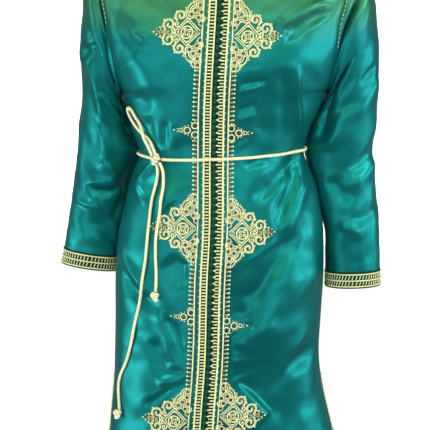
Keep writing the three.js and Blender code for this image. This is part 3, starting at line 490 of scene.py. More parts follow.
# ---- Sleeve creases: turns from the outside to the front and rings from the armhole, at each end ----
SLEEVE_CREASE_COLUMNS = "turn1 ring1 turn2 ring2 bow wide high steep"
SLEEVE_CREASES = {
    "right": table(SLEEVE_CREASE_COLUMNS, [
        (0.167, 0.65, 0.304, 0, 0, 0.0095, -0.0144, 0.5),
        (0.087, 3.95, 0.233, 2.75, 0.002, 0.0076, -0.008, 0.5),
        (0.133, 4, 0.208, 4.35, -0.002, 0.0114, 0.0048, 0.6),
        (0.196, 4.35, 0.221, 6.3, 0, 0.0114, 0.008, 0.5),
        (0.221, 6.3, 0.25, 7.7, 0, 0.0095, 0.008, 0.5),
        (0.237, 7.6, 0.325, 8.3, 0, 0.0105, 0.0064, 0.5),
        (0.329, 8.3, 0.179, 8.6, -0.002, 0.0105, 0.0064, 0.6),
        (0.35, 8.65, 0.179, 8.9, -0.002, 0.0115, -0.0072, 0.7),
        (0.242, 9.85, 0.417, 11.6, 0, 0.019, -0.008, 0.8),
        (0.192, 8.9, 0.263, 9.7, 0, 0.0095, 0.0064, 0.6),
        (0.096, 9.35, 0.229, 9.5, 0, 0.0066, 0.0048, 0.6),
        (0.258, 0, 0.396, 3.3, 0, 0.0285, -0.0144, 1),
        (0.396, 3.3, 0.375, 6.7, 0, 0.0304, -0.016, 1),
        (0.375, 6.7, 0.442, 9.05, 0, 0.0266, -0.0144, 1),
        (0.171, 3.7, 0.217, 4.75, 0, 0.0133, 0.0056, 0.6),
        (0.217, 4.75, 0.317, 5.4, 0, 0.0133, 0.0048, 0.6),
        (0.396, 8.85, 0.342, 10.1, 0, 0.0152, -0.008, 1),
        (0.087, 6.85, 0.188, 8.15, 0, 0.0171, -0.0048, 1),
        (0.62, 7, 0.9, 7.8, 0, 0.02, -0.005, 0.8),
        (0.9, 8.2, 0.64, 9.1, 0, 0.016, 0.005, 0.8),
        (0.7, 2.4, 0.94, 4.2, 0, 0.02, -0.006, 0.8),
    ]),
    "left": table(SLEEVE_CREASE_COLUMNS, [
        (0.125, 1.65, 0.342, 0, 0, 0.0095, -0.0144, 0.6),
        (0.108, 4.45, 0.196, 4.45, 0, 0.0095, -0.0056, 0.7),
        (0.067, 5, 0.217, 6.05, 0, 0.0171, 0.0064, 0.7),
        (0.25, 3.05, 0.417, 2.8, 0, 0.0133, -0.0096, 0.7),
        (0.379, 3.25, 0.346, 6.2, 0, 0.0152, -0.0096, 0.7),
        (0.254, 5.35, 0.3, 7.05, 0, 0.0152, 0.008, 0.7),
        (0.017, 7.25, 0.25, 8.15, 0, 0.0171, -0.0064, 0.7),
        (0.021, 7.9, 0.246, 8.65, 0, 0.0152, 0.008, 0.7),
        (0.321, 8.2, 0.263, 9.15, 0, 0.0133, -0.008, 0.7),
        (0.013, 9.4, 0.258, 9.85, 0, 0.0133, -0.0048, 0.7),
        (0.308, 9.8, 0.2, 10.4, 0, 0.0133, 0.0064, 0.7),
        (0.62, 7.2, 0.9, 8, 0, 0.02, -0.005, 0.8),
        (0.9, 8.6, 0.64, 9.6, 0, 0.016, 0.005, 0.8),
        (0.7, 2.6, 0.94, 4.4, 0, 0.02, -0.006, 0.8),
    ]),
}


# ---- Small maths ----
def read(rows, key, column, at):
    """A column of a table at any places along its key, as one smooth curve through its rows."""
    keys = np.array([row[key] for row in rows], float)
    values = np.array([row[column] for row in rows], float)
    if keys[0] > keys[-1]:
        keys, values = keys[::-1], values[::-1]
    slopes = np.empty_like(values)
    slopes[1:-1] = (values[2:] - values[:-2]) / (keys[2:] - keys[:-2])
    slopes[0] = (values[1] - values[0]) / (keys[1] - keys[0])
    slopes[-1] = (values[-1] - values[-2]) / (keys[-1] - keys[-2])
    here = np.clip(at, keys[0], keys[-1])
    i = np.clip(np.searchsorted(keys, here, side="right") - 1, 0, len(keys) - 2)
    span = keys[i + 1] - keys[i]
    t = (here - keys[i]) / span
    start = (2 * t**3 - 3 * t**2 + 1) * values[i] + (t**3 - 2 * t**2 + t) * slopes[i] * span
    end = (3 * t**2 - 2 * t**3) * values[i + 1] + (t**3 - t**2) * slopes[i + 1] * span
    return start + end


def smooth(low, high, value):
    t = np.clip((value - low) / (high - low), 0, 1)
    return t * t * (3 - 2 * t)


def mix(a, b, t):
    return a + (b - a) * t


def unit(vectors):
    return vectors / np.maximum(np.linalg.norm(vectors, axis=-1, keepdims=True), 1e-12)


# ---- The body's surface ----
def placket_x(z):
    return read(PLACKET, "z", "x", z)


def half_width(x, z):
    return np.where(x < 0, read(BODY, "z", "right", z), read(BODY, "z", "left", z))


def shoulder_z(x):
    return (NECK_HALF - np.abs(x)) * SHOULDER_SLOPE


def armhole_depth(z, across):
    """Half the armhole's depth: round at the seam itself, and eased in over the chest."""
    below = np.clip((ARMHOLE_MID_Z - z) / (ARMHOLE_MID_Z - UNDERARM_Z), 0, 1)
    seam = np.where(z <= UNDERARM_Z, 0, np.sqrt(1 - below**2))
    eased = smooth(UNDERARM_Z - 0.06, ARMHOLE_MID_Z, z)
    return ARMHOLE_DEPTH * mix(eased, seam, across**10)


def plain_point(face, x, z):
    """Points of the smooth front or back, before its creases."""
    x, z = np.broadcast_arrays(np.asarray(x, float), np.asarray(z, float))
    across = np.clip(np.abs(x) / half_width(x, z), 0, 1)
    bow = np.sqrt(1 - across**ROUNDNESS)
    edge = armhole_depth(z, across)
    under = np.clip((shoulder_z(x) - z) / SHOULDER_ROUND, 0, 1)
    rounded = np.sqrt(1 - (1 - under) ** 2)
    slit = SLIT_SPREAD * smooth(0, HEM_FADE, SLIT_TOP_Z - z) * across**6
    depth = (edge + (read(BODY, "z", face, z) - edge) * bow) * rounded + slit
    return np.stack([x, -depth if face == "front" else depth, z], axis=-1)


def cordwork_reach(side, z):
    """How far the stiff cord work reaches from the placket at a level."""
    reach = np.full(np.shape(z), COLUMN_EDGE)
    for motif in MOTIFS:
        near = np.clip(1 - np.abs(z - motif[side]) / motif["half"], 0, 1)
        reach = np.maximum(reach, mix(COLUMN_EDGE, motif["reach"], near**0.85))
    return reach


def crease_height(crease, x, z, dx, dz):
    """The height of a crease at places from its start. It bows to one side and is steep on its left."""
    length = math.hypot(dx, dz)
    along = (x * dx + z * dz) / length**2
    off = (x * dz - z * dx) / length - crease["bow"] * 4 * along * (1 - along)
    wide = crease["wide"] * np.where(off < 0, crease["steep"], 1)
    ends = smooth(-0.12, 0.25, along) * (1 - smooth(0.7, 1.12, along))
    return crease["high"] * ends * np.exp(-((off / wide) ** 2))


DRIFT_SEEDS = {"right": 40, "left": 41, "front": 42, "back": 43}


def drift_height(x, z, part):
    """The slight unevenness of worn cloth: long soft waves under a few short ones."""
    random = np.random.default_rng(DRIFT_SEEDS[part])
    total = np.zeros(np.shape(x))
    for length, height in [(0.13, 0.0007)] * 7 + [(0.05, 0.00024)] * 7:
        angle, phase, stretch = random.uniform(0, TAU, 3)
        length = length * (0.7 + stretch / TAU * 0.6)
        total += height * np.sin(TAU * (x * math.cos(angle) + z * math.sin(angle)) / length + phase)
    return total


def crease_sum(face, x, z):
    """The height of all the creases of the front or back. None runs into the stiff cord work."""
    reach = np.where(x < 0, cordwork_reach("right", z), cordwork_reach("left", z))
    past = np.abs(x - placket_x(z)) - reach
    total = drift_height(x, z, face)
    for crease in CREASES[face]:
        height = crease_height(crease, x - crease["x1"], z - crease["z1"],
                               crease["x2"] - crease["x1"], crease["z2"] - crease["z1"])
        if face == "front":
            height = height * smooth(0, CREASE_FADE, past)
        total += height
    return total


def surface(face, x, z, lift=0.0):
    """Points and outward normals of the cloth at places across and up the front or back."""
    x, z = np.broadcast_arrays(np.asarray(x, float), np.asarray(z, float))
    half = half_width(x, z)
    step = 0.002
    near = np.sign(x) * np.minimum(np.abs(x), half - 3 * step)
    across = plain_point(face, near + step, z) - plain_point(face, near - step, z)
    upward = plain_point(face, near, z + step) - plain_point(face, near, z - step)
    out = np.cross(across, upward) if face == "front" else np.cross(upward, across)
    out = unit(out)
    # The creases fade out at the side seams and at the top.
    still = 1 - smooth(0.86, 1, np.abs(x) / half)
    top = smooth(0, 0.06, shoulder_z(x) - z)
    height = crease_sum(face, x, z) * still * top + lift
    return plain_point(face, x, z) + out * height[..., None], out


# ---- Cloth pieces from a grid of places ----
def grid_piece(name, columns, rows, place, size, thick, around=False):
    """A grid whose every point is set by place(u, v), with its UV in metres and its wall inside it."""
    deselect()
    bpy.ops.mesh.primitive_grid_add(x_subdivisions=columns, y_subdivisions=rows, size=2)
    piece = bpy.context.object
    piece.name = name
    piece.data.name = name
    mesh = piece.data
    count = len(mesh.vertices)
    flat = np.empty(count * 3)
    mesh.vertices.foreach_get("co", flat)
    uv = (flat.reshape(-1, 3)[:, :2] + 1) / 2
    mesh.vertices.foreach_set("co", place(uv[:, 0], uv[:, 1]).reshape(-1))
    corners = np.empty(len(mesh.loops), int)
    mesh.loops.foreach_get("vertex_index", corners)
    mesh.uv_layers.active.data.foreach_set("uv", (uv[corners] * np.array(size)).reshape(-1))
    mesh.update()
    if around:
        bpy.ops.object.mode_set(mode="EDIT")
        bpy.ops.mesh.select_all(action="SELECT")
        bpy.ops.mesh.remove_doubles(threshold=0.00002)
        bpy.ops.object.mode_set(mode="OBJECT")
    wall = piece.modifiers.new("wall", "SOLIDIFY")
    wall.thickness = thick
    wall.offset = -1
    bpy.ops.object.modifier_apply(modifier=wall.name)
    bpy.ops.object.shade_smooth()
    return piece


def top_z(face, x):
    """The level of the neck's edge, or of the shoulder seam beside it."""
    reach = np.minimum(np.abs(x) / NECK_HALF, 1)
    neck = -NECK_DROP[face] * np.sqrt(1 - reach**2)
    return np.where(np.abs(x) >= NECK_HALF, shoulder_z(x), neck)


# The share of a panel's height, in its mesh, that lies below the armhole.
ROW_SPLIT = 0.7


def panel_place(face, column_x):
    """Turns a column share and a row share of a panel into places across and up it."""
    def place(u, v):
        below = v < ROW_SPLIT
        level = mix(HEM_BASE_Z, UNDERARM_Z, np.minimum(v / ROW_SPLIT, 1))
        up = np.clip((v - ROW_SPLIT) / (1 - ROW_SPLIT), 0, 1)
        rise = (1 - np.cos(np.pi * up)) / 2
        z = level
        top = np.full(np.shape(u), -0.06)
        # The level at the top and the place across depend on each other, so both are found by turns.
        for _ in range(14):
            top = top_z(face, column_x(u, top))
            x = column_x(u, z)
            hem = read(HEM, "s", face, x / half_width(x, level)) - HEM_BASE_Z
            low = level + hem * np.clip(1 - (level - HEM_BASE_Z) / HEM_FADE, 0, 1)
            z = np.where(below, low, mix(UNDERARM_Z, top, rise))
        return surface(face, column_x(u, z), z)[0]
    return place


def front_column(side):
    """Places across one front, from the placket to the side seam."""
    sign = SIDES[side]

    def column(u, z):
        out = u if side == "left" else 1 - u
        share = out * (2 - out)
        return mix(placket_x(z), sign * half_width(np.full(np.shape(z), sign), z), share)
    return column


def back_column(u, z):
    """Places across the back, from one side seam to the other."""
    turn = 1 - 2 * u
    share = np.abs(turn) * (2 - np.abs(turn))
    return np.sign(turn) * share * half_width(turn, z)


# Each piece as it is cut: its width and length, its area, and the columns and rows of its mesh.
CUTS = {
    "front": {"size": (0.3, 1.0), "area": 0.26, "columns": 104, "rows": 230},
    "back": {"size": (0.56, 1.03), "area": 0.5, "columns": 150, "rows": 180},
    "sleeve": {"size": (0.36, 0.63), "area": 0.195, "columns": 96, "rows": 150},
}


def satin_piece(name, node, cut, place, satin, around=False):
    """A piece of the tunic's satin, with its wall."""
    piece = grid_piece(name, cut["columns"], cut["rows"], place, cut["size"], CLOTH, around)
    piece.data.materials.append(satin)
    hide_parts(node)
    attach(piece, "root")


def make_body(satin):
    for side in SIDES:
        place = panel_place("front", front_column(side))
        satin_piece(f"front_{side}_cloth", f"front_{side}_panel", CUTS["front"], place, satin)
    satin_piece("back_cloth", "back_panel", CUTS["back"], panel_place("back", back_column), satin)
    for side in SIDES:
        place = sleeve_place(side)
        satin_piece(f"sleeve_{side}_cloth", f"sleeve_{side}", CUTS["sleeve"], place, satin, around=True)


# ---- Sleeves ----
def sleeve_rings(side, turn):
    """The armhole ring and every ring of the table, at places round the sleeve."""
    sign = SIDES[side]
    rise = (1 + np.cos(TAU * turn)) / 2
    top = -0.06
    for _ in range(12):
        top = top_z("front", sign * half_width(sign, top))
    z = mix(UNDERARM_Z, top, rise)
    edge_x = sign * half_width(np.full(np.shape(z), sign), z)
    front = plain_point("front", edge_x, z)
    back = plain_point("back", edge_x, z)
    rings = [np.where((np.sin(TAU * turn) >= 0)[..., None], front, back)]
    cosine = np.cos(TAU * turn)
    sine = np.sin(TAU * turn)
    across = np.sign(cosine) * np.abs(cosine) ** SLEEVE_SQUARE
    deep = np.sign(sine) * np.abs(sine) ** SLEEVE_SQUARE
    for number, row in enumerate(SLEEVES[side]):
        tuck = SLEEVE_TUCK[side] * math.exp(-(((number - TUCK_RING) / TUCK_RINGS) ** 2))
        outer = np.array([sign * row["out_x"], row["y"], row["out_z"]])
        inner = np.array([sign * (row["in_x"] - tuck), row["y"] + tuck * TUCK_BACK, row["in_z"]])
        point = (outer + inner) / 2 + across[..., None] * (outer - inner) / 2
        point[..., 1] -= row["depth"] * deep
        rings.append(point)
    return np.stack(rings)


def sleeve_plain(side, turn, ring):
    """A point of the smooth sleeve, on one curve through its rings."""
    rings = sleeve_rings(side, turn)
    slopes = np.gradient(rings, axis=0)
    slopes[0] = rings[1] - rings[0]
    slopes[-1] = rings[-1] - rings[-2]
    here = np.clip(ring, 0, RINGS)
    i = np.minimum(here.astype(int), RINGS - 1)
    t = (here - i)[..., None]
    pick = np.arange(len(turn))
    start = (2 * t**3 - 3 * t**2 + 1) * rings[i, pick] + (t**3 - 2 * t**2 + t) * slopes[i, pick]
    end = (3 * t**2 - 2 * t**3) * rings[i + 1, pick] + (t**3 - t**2) * slopes[i + 1, pick]
    return start + end


def sleeve_crease(side, turn, ring):
    """The height of a sleeve's creases, which fade out at the armhole and above the cuff."""
    total = drift_height(turn * SLEEVE_ROUND, ring * RING_STEP, side)
    for crease in SLEEVE_CREASES[side]:
        du = (crease["turn2"] - crease["turn1"]) * SLEEVE_ROUND
        dv = (crease["ring1"] - crease["ring2"]) * RING_STEP
        middle = (crease["turn1"] + crease["turn2"]) / 2
        u = (np.mod(turn - middle + 0.5, 1) - 0.5) * SLEEVE_ROUND + du / 2
        v = (crease["ring1"] - ring) * RING_STEP
        total = total + crease_height(crease, u, v, du, dv)
    return total * smooth(0, 0.7, ring) * (1 - smooth(RINGS - 2.4, RINGS - 1.2, ring))


def sleeve_surface(side, turn, ring, lift=0.0):
    """Points and outward normals of a sleeve."""
    turn, ring = np.broadcast_arrays(np.asarray(turn, float), np.asarray(ring, float))
    shape = turn.shape
    turn, ring = turn.ravel(), ring.ravel()
    step = 0.004
    round_it = sleeve_plain(side, turn + step, ring) - sleeve_plain(side, turn - step, ring)
    inner = np.clip(ring, 0.05, RINGS - 0.05)
    down = sleeve_plain(side, turn, inner + 0.05) - sleeve_plain(side, turn, inner - 0.05)
    out = unit(np.cross(round_it, down)) * SIDES[side]
    height = sleeve_crease(side, turn, ring) + lift
    points = sleeve_plain(side, turn, ring) + out * height[..., None]
    return points.reshape(shape + (3,)), out.reshape(shape + (3,))


def sleeve_place(side):
    def place(u, v):
        turn = u if side == "left" else 1 - u
        return sleeve_surface(side, turn, (1 - v) * RINGS)[0]
    return place


# ---- Stock of joined small work ----
# How far apart the points of a braid's cords are, and those of the bow, a tail or a diamond's side.
BRAID_STEP = 0.0032
CORD_STEP = 0.0022
# The UV of a thread's closed ends, which sets how much of the gold's painted shade they get.
PLAIN_UV = 0.12


class Stock:
    """Small pieces gathered into one mesh: swept threads and copies of a modelled shape."""

    def __init__(self):
        self.points = []
        self.faces = []
        self.uvs = []
        self.count = 0

    def add(self, points, faces, uvs=None):
        points = np.asarray(points, float)
        faces = np.asarray(faces, int)
        self.points.append(points)
        self.faces.append(faces + self.count)
        self.uvs.append(np.full(faces.shape + (2,), PLAIN_UV) if uvs is None else uvs)
        self.count += len(points)

    def thread(self, points, ups, wide, high=None, sides=6, strands=0, twist=0.02, ridge=0.0, closed=False):
        """Sweeps a round or flat thread along points, with ups its outward directions."""
        points = np.asarray(points, float)
        if high is None:
            high = wide
        if closed:
            tangents = np.roll(points, -1, axis=0) - np.roll(points, 1, axis=0)
        else:
            tangents = np.gradient(points, axis=0)
        tangents = unit(tangents)
        ups = np.broadcast_to(ups, points.shape)
        ups = unit(ups - tangents * (ups * tangents).sum(-1, keepdims=True))
        across = np.cross(tangents, ups)
        steps = np.linalg.norm(np.diff(points, axis=0), axis=-1)
        along = np.concatenate([[0], np.cumsum(steps)])
        turns = np.arange(sides) / sides
        angle = TAU * turns[None, :]
        swell = 1 + ridge * np.cos(strands * (angle - TAU * along[:, None] / twist))
        ring = points[:, None] + across[:, None] * (np.cos(angle) * swell * wide / 2)[..., None]
        ring = ring + ups[:, None] * (np.sin(angle) * swell * high / 2)[..., None]
        rows = len(points)
        index = np.arange(rows * sides).reshape(rows, sides)
        nexts = np.roll(index, -1, axis=1)
        if closed:
            low, low_next = index, nexts
            high_row, high_next = np.roll(index, -1, axis=0), np.roll(nexts, -1, axis=0)
        else:
            low, low_next = index[:-1], nexts[:-1]
            high_row, high_next = index[1:], nexts[1:]
        faces = np.stack([low, high_row, high_next, low_next], axis=-1).reshape(-1, 4)
        spans = low.shape[0]
        length = np.append(along, along[-1] + steps.mean())
        u0 = np.repeat(length[:spans, None], sides, 1)
        u1 = np.repeat(length[1:spans + 1, None], sides, 1)
        v0 = np.repeat(turns[None, :], spans, 0)
        v1 = v0 + 1 / sides
        uvs = np.stack([
            np.stack([u0, v0], -1), np.stack([u1, v0], -1),
            np.stack([u1, v1], -1), np.stack([u0, v1], -1),
        ], axis=2).reshape(-1, 4, 2)
        self.add(ring.reshape(-1, 3), faces, uvs)
        if not closed:
            self.cap(ring[0], points[0] - tangents[0] * wide * 0.3)
            self.cap(ring[-1][::-1], points[-1] + tangents[-1] * wide * 0.3)

    def cap(self, ring, tip):
        """Closes an end of a thread with a small point."""
        count = len(ring)
        index = np.arange(count)
        nexts = np.roll(index, -1)
        faces = np.stack([index, nexts, np.full(count, count), np.full(count, count)], axis=-1)
        self.add(np.vstack([ring, tip]), faces)

    def copies(self, shape, places, ups, alongs, scale=1.0):
        """Sets copies of a modelled shape on the work: its Z along ups, its X along alongs."""
        points, faces = shape
        places = np.asarray(places, float).reshape(-1, 3)
        ups = np.broadcast_to(ups, places.shape)
        alongs = np.broadcast_to(alongs, places.shape)
        alongs = unit(alongs - ups * (alongs * ups).sum(-1, keepdims=True))
        sideways = np.cross(ups, alongs)
        scale = np.broadcast_to(scale, (len(places),))
        spots = points[None] * scale[:, None, None]
        set_out = places[:, None] + spots[..., :1] * alongs[:, None]
        set_out = set_out + spots[..., 1:2] * sideways[:, None] + spots[..., 2:] * ups[:, None]
        offsets = np.arange(len(places)) * len(points)
        foot = points[:, 2].min()
        # Each copy's UV runs along its X, and up from its foot as over a quarter of a thread, so the gold's
        # painted shade darkens its foot and leaves its top light.
        rise = 0.25 * (points[:, 2] - foot) / (points[:, 2].max() - foot)
        crown = np.stack([points[:, 0], rise], axis=-1)[faces]
        crowns = np.broadcast_to(crown, (len(places),) + crown.shape).reshape(-1, 4, 2)
        self.add(set_out.reshape(-1, 3), (faces[None] + offsets[:, None, None]).reshape(-1, 4), crowns)

    def piece(self, name, material, slot=None, node=None):
        """Makes the gathered work one mesh object, in place of its node. Its slot is not used."""
        points = np.vstack(self.points)
        faces = np.vstack(self.faces)
        uvs = np.vstack(self.uvs).reshape(-1, 2)
        mesh = bpy.data.meshes.new(name)
        lists = [list(dict.fromkeys(face)) for face in faces.tolist()]
        corners = np.concatenate([
            np.arange(4 * i, 4 * i + len(face)) for i, face in enumerate(lists)
        ])
        mesh.from_pydata(points.tolist(), [], lists)
        layer = mesh.uv_layers.new(name="UVMap")
        layer.data.foreach_set("uv", uvs[corners].reshape(-1))
        mesh.materials.append(material)
        mesh.update()
        piece = bpy.data.objects.new(name, mesh)
        bpy.context.collection.objects.link(piece)
        alone(piece)
        bpy.ops.object.shade_smooth()
        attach(piece, "root")
        if node:
            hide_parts(node)
        return piece


def modelled(piece):
    """Takes a modelled shape's points and faces for copies, and clears the shape away."""
    mesh = piece.data
    points = np.empty(len(mesh.vertices) * 3)
    mesh.vertices.foreach_get("co", points)
    faces = [list(face.vertices) for face in mesh.polygons]
    faces = [face if len(face) == 4 else face + [face[-1]] for face in faces]
    bpy.data.objects.remove(piece)
    return points.reshape(-1, 3), np.array(faces)


def bead_shape(round_size, high):
    """A small bead or knob, a little narrower one way."""
    deselect()
    bpy.ops.mesh.primitive_uv_sphere_add(segments=8, ring_count=5, radius=0.5)
    bead = bpy.context.object
    bpy.ops.object.mode_set(mode="EDIT")
    bpy.ops.transform.resize(value=(round_size, round_size * 0.86, high))
    bpy.ops.object.mode_set(mode="OBJECT")
    return modelled(bead)


def sequin_shape(wide):
    """A cupped sequin with its raised middle bead."""
    deselect()
    bpy.ops.mesh.primitive_circle_add(vertices=10, radius=wide / 2, fill_type="NOTHING")
    sequin = bpy.context.object
    bpy.ops.object.mode_set(mode="EDIT")
    bpy.ops.mesh.extrude_region_move(TRANSFORM_OT_translate={"value": (0, 0, wide * 0.16)})
    bpy.ops.transform.resize(value=(0.82, 0.82, 1))
    bpy.ops.mesh.extrude_region_move(TRANSFORM_OT_translate={"value": (0, 0, -wide * 0.1)})
    bpy.ops.transform.resize(value=(0.5, 0.5, 1))
    bpy.ops.mesh.extrude_region_move(TRANSFORM_OT_translate={"value": (0, 0, wide * 0.12)})
    bpy.ops.transform.resize(value=(0.5, 0.5, 1))
    bpy.ops.mesh.merge(type="CENTER")
    bpy.ops.mesh.select_all(action="SELECT")
    bpy.ops.mesh.normals_make_consistent(inside=False)
    bpy.ops.object.mode_set(mode="OBJECT")
    return modelled(sequin)


def stitch_shape(length, wide):
    """A short bar of thread with round ends."""
    deselect()
    bpy.ops.mesh.primitive_uv_sphere_add(segments=6, ring_count=5, radius=0.5, rotation=(0, math.pi / 2, 0))
    bar = bpy.context.object
    bpy.ops.object.transform_apply(location=False, rotation=True, scale=False)
    bpy.ops.object.mode_set(mode="EDIT")
    bpy.ops.transform.resize(value=(length, wide, wide))
    bpy.ops.object.mode_set(mode="OBJECT")
    for vertex in bar.data.vertices:
        share = 2 * vertex.co.x / length
        vertex.co.x = math.copysign(abs(share) ** 0.55, share) * length / 2
    return modelled(bar)


# ---- Placket, from the outer cord of one braid to the outer cord of the other ----
TRIM_LOW = {"right": -0.99, "left": -0.988}
TRIM_TOP = -0.098
RUNG_PITCH = 0.0059
PICOT_PITCH = 0.0123
COLUMN_PITCH = 0.0083

# Distances out from the placket line to the cords of each braid and to each row of small work.
BRAIDS = {
    "right": {"cords": table("reach wide", [(0.0196, 0.0042), (0.008, 0.0036)]), "rungs": 0.0136,
              "picots": 0.0223, "column": 0.0304, "sequins": 0.0344, "slants": 0.0352, "knobs": 0.0394},
    "left": {"cords": table("reach wide", [(0.0162, 0.0044)]), "rungs": 0.0103,
             "picots": 0.019, "column": 0.0252, "sequins": 0.0295, "slants": 0.0303, "knobs": 0.0345},
}
LOOPS_OUT = 0.0052
BUTTONS_OUT = 0.0012
GROUND_THICK = 0.0009
GROUND_FROM = -0.0215
GROUND_TO = 0.0182


def levels(low, high, pitch):
    """Evenly spaced values from low to high, about a pitch apart."""
    count = max(round((high - low) / pitch), 1)
    return low + np.arange(count + 1) * (high - low) / count


def on_front(side, reach, z, lift):
    """Points and normals of the front, a distance out from the placket line."""
    z = np.asarray(z, float)
    return surface("front", placket_x(z) + SIDES[side] * np.asarray(reach), z, lift)


def front_cord(stock, side, reach, wide, high, lift):
    """A stout twisted cord down the front."""
    points, out = on_front(side, reach, levels(TRIM_LOW[side], TRIM_TOP, BRAID_STEP), lift)
    stock.thread(points, out, wide, high, sides=8, strands=2, twist=0.009, ridge=0.09)


def set_row(stock, shape, side, reach, z, lift, along=(1, 0, 0), scale=1.0):
    """Sets copies of a shape in a row down the front."""
    points, out = on_front(side, reach, z, lift)
    stock.copies(shape, points, out, along, scale)


def silk_ground(name, columns, rows, place, size, silk, around=False):
    """The dark silk under a braid."""
    piece = grid_piece(name, columns, rows, place, size, GROUND_THICK, around)
    piece.data.materials.append(silk)
    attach(piece, "root")


def placket_ground(u, v):
    """A place of the silk under both braids, from the wearer's right edge to the left one."""
    z = mix(TRIM_LOW["left"], TRIM_TOP, v)
    crown = 0.0007 * (1 - (2 * u - 1) ** 4)
    return surface("front", placket_x(z) + mix(GROUND_FROM, GROUND_TO, u), z, 0.0006 + crown)[0]


def make_placket(gold, silk, knot_silk, shapes):
    for side, spec in BRAIDS.items():
        stock = Stock()
        for row in spec["cords"]:
            front_cord(stock, side, row["reach"], row["wide"], high=0.0026, lift=0.0024)
        z = levels(TRIM_LOW[side] + 0.002, TRIM_TOP - 0.002, RUNG_PITCH)
        set_row(stock, shapes["rung"], side, spec["rungs"], z, lift=0.0022)
        z = levels(TRIM_LOW[side] + 0.004, TRIM_TOP - 0.002, PICOT_PITCH)
        set_row(stock, shapes["picot"], side, spec["picots"], z, lift=0.002)
        if side == "left":
            set_row(stock, shapes["loop_bump"], side, LOOPS_OUT, z, lift=0.0034)
        stock.piece(f"placket_cord_{side}", gold, "gold_braid", f"placket_braid_{side}")
    size = (GROUND_TO - GROUND_FROM, TRIM_TOP - TRIM_LOW["left"])
    silk_ground("placket_ground", 12, 300, placket_ground, size, silk)
    stock = Stock()
    low = TRIM_LOW["left"] + 0.004
    z = levels(low, TRIM_TOP - 0.004, PICOT_PITCH)
    set_row(stock, shapes["button"], "right", BUTTONS_OUT, z, lift=0.0032, along=(0, 0, 1))
    z = levels(low + PICOT_PITCH / 2, TRIM_TOP - 0.008, PICOT_PITCH)
    set_row(stock, shapes["neck"], "right", BUTTONS_OUT, z, lift=0.0024, along=(0, 0, 1))
    stock.piece("silk_knots", knot_silk, "green_silk", "button_row")


# ---- Couched cord work ----
def spiral(a, b, radius, start, turns, inner):
    """A spiral in to its middle, from a place on its rim. Places are out from the placket and up."""
    t = np.linspace(0, 1, int(26 * turns))
    angle = start + TAU * turns * t
    reach = radius * mix(1, inner, t)
    return np.stack([a + reach * np.cos(angle), b + reach * np.sin(angle)], axis=-1)


def circle(a, b, radius, steps):
    angle = TAU * np.arange(steps) / steps
    return np.stack([a + radius * np.cos(angle), b + radius * np.sin(angle)], axis=-1)


def straight(a1, b1, a2, b2):
    count = max(int(math.hypot(a2 - a1, b2 - b1) / CORD_STEP), 2)
    t = np.linspace(0, 1, count + 1)
    return np.stack([mix(a1, a2, t), mix(b1, b2, t)], axis=-1)


# Places out from the placket and up from the motif's middle, and the size of each.
SEQUIN_CELLS = table("a b", [
    (0.0365, 0.0475), (0.0335, 0.0345), (0.0445, 0.038), (0.0385, 0.0245), (0.0515, 0.031),
    (0.0335, 0.0145), (0.0355, 0.0585),
])
LOBES = table("a b r from_turn to_turn", [
    (0.0365, 0.0525, 0.0112, -0.02, 0.3), (0.0425, 0.0375, 0.0165, -0.02, 0.2),
    (0.0545, 0.0305, 0.0095, -0.08, 0.17),
])
FILLS = table("a b r", [
    (0.0345, 0.0235, 0.0095), (0.0825, 0.0038, 0.0062), (0.0915, 0.0, 0.005), (0.1035, 0.0, 0.0062),
    (0.1035, 0.0068, 0.0044), (0.1105, 0.0, 0.0045), (0.0765, 0.0138, 0.0062),
])
SCROLLS = table("a b r", [(0.0705, 0.0285, 0.0106), (0.0905, 0.0128, 0.0118)])
TIP_CELLS = table("a b", [(0.1035, 0.0062), (0.1035, -0.0062), (0.1115, 0.0008)])
TIP_BEADS = table("a b", [
    (0.0985, 0.0), (0.1085, 0.0085), (0.1085, -0.0085), (0.1135, 0.0055), (0.1135, -0.0055),
    (0.0985, 0.0095), (0.0985, -0.0095),
])
RIM_BEADS = table("a b", [(0.0625, 0.0425), (0.0825, 0.0245), (0.0785, 0.0365), (0.1005, 0.0215)])
# A big motif's diamond: its middle, the two sides of its upper half, and the ring's middle in it.
DIAMOND_A = 0.0575
DIAMOND_SIDES = (((0.0795, 0.0015), (0.058, 0.0245)), ((0.058, 0.0245), (0.034, 0.0015)))
RING_A = 0.058
RING_B = -0.001
CORNER_BEADS = table("a b", [(0.0735, 0.0), (0.058, 0.0172), (0.0435, 0.0), (0.058, -0.0172)])


class Motif:
    """Cord work on one side at one level. Its places are out from the placket and up from its middle."""

    def __init__(self, side, level, shift, gold, dark, shapes):
        self.side = side
        self.level = level
        self.shift = shift
        self.gold = gold
        self.dark = dark
        self.shapes = shapes

    def at(self, places, lift):
        places = np.asarray(places, float).reshape(-1, 2)
        return on_front(self.side, places[:, 0] + self.shift, self.level + places[:, 1], lift)

    def cord(self, places, wide, high=0.0017, lift=0.0016, closed=False):
        points, out = self.at(places, lift)
        self.gold.thread(points, out, wide, high, closed=closed)

    def beads(self, places, scale):
        points, out = self.at(places, 0.0014)
        self.gold.copies(self.shapes["bead"], points, out, (1, 0, 0), scale)

    def sequins(self, places, scale, lift=0.0022):
        points, out = self.at(places, lift)
        self.dark.copies(self.shapes["sequin"], points, out, (1, 0, 0), scale)

    def round_fill(self, a, b, radius):
        """A round filled with close turns of cord, from its rim to its middle."""
        turns = max(radius / 0.0043, 1)
        line = spiral(a, b, radius, 0.4 + 40 * (a + b), turns, 0.12)
        self.cord(line, wide=0.003, high=0.002, lift=0.0013)

    def cell(self, a, b):
        """A sequin in a ring of cord."""
        self.cord(circle(a, b, 0.0041, 14), wide=0.0019, lift=0.0025, closed=True)
        self.sequins([(a, b)], scale=1.75, lift=0.0027)


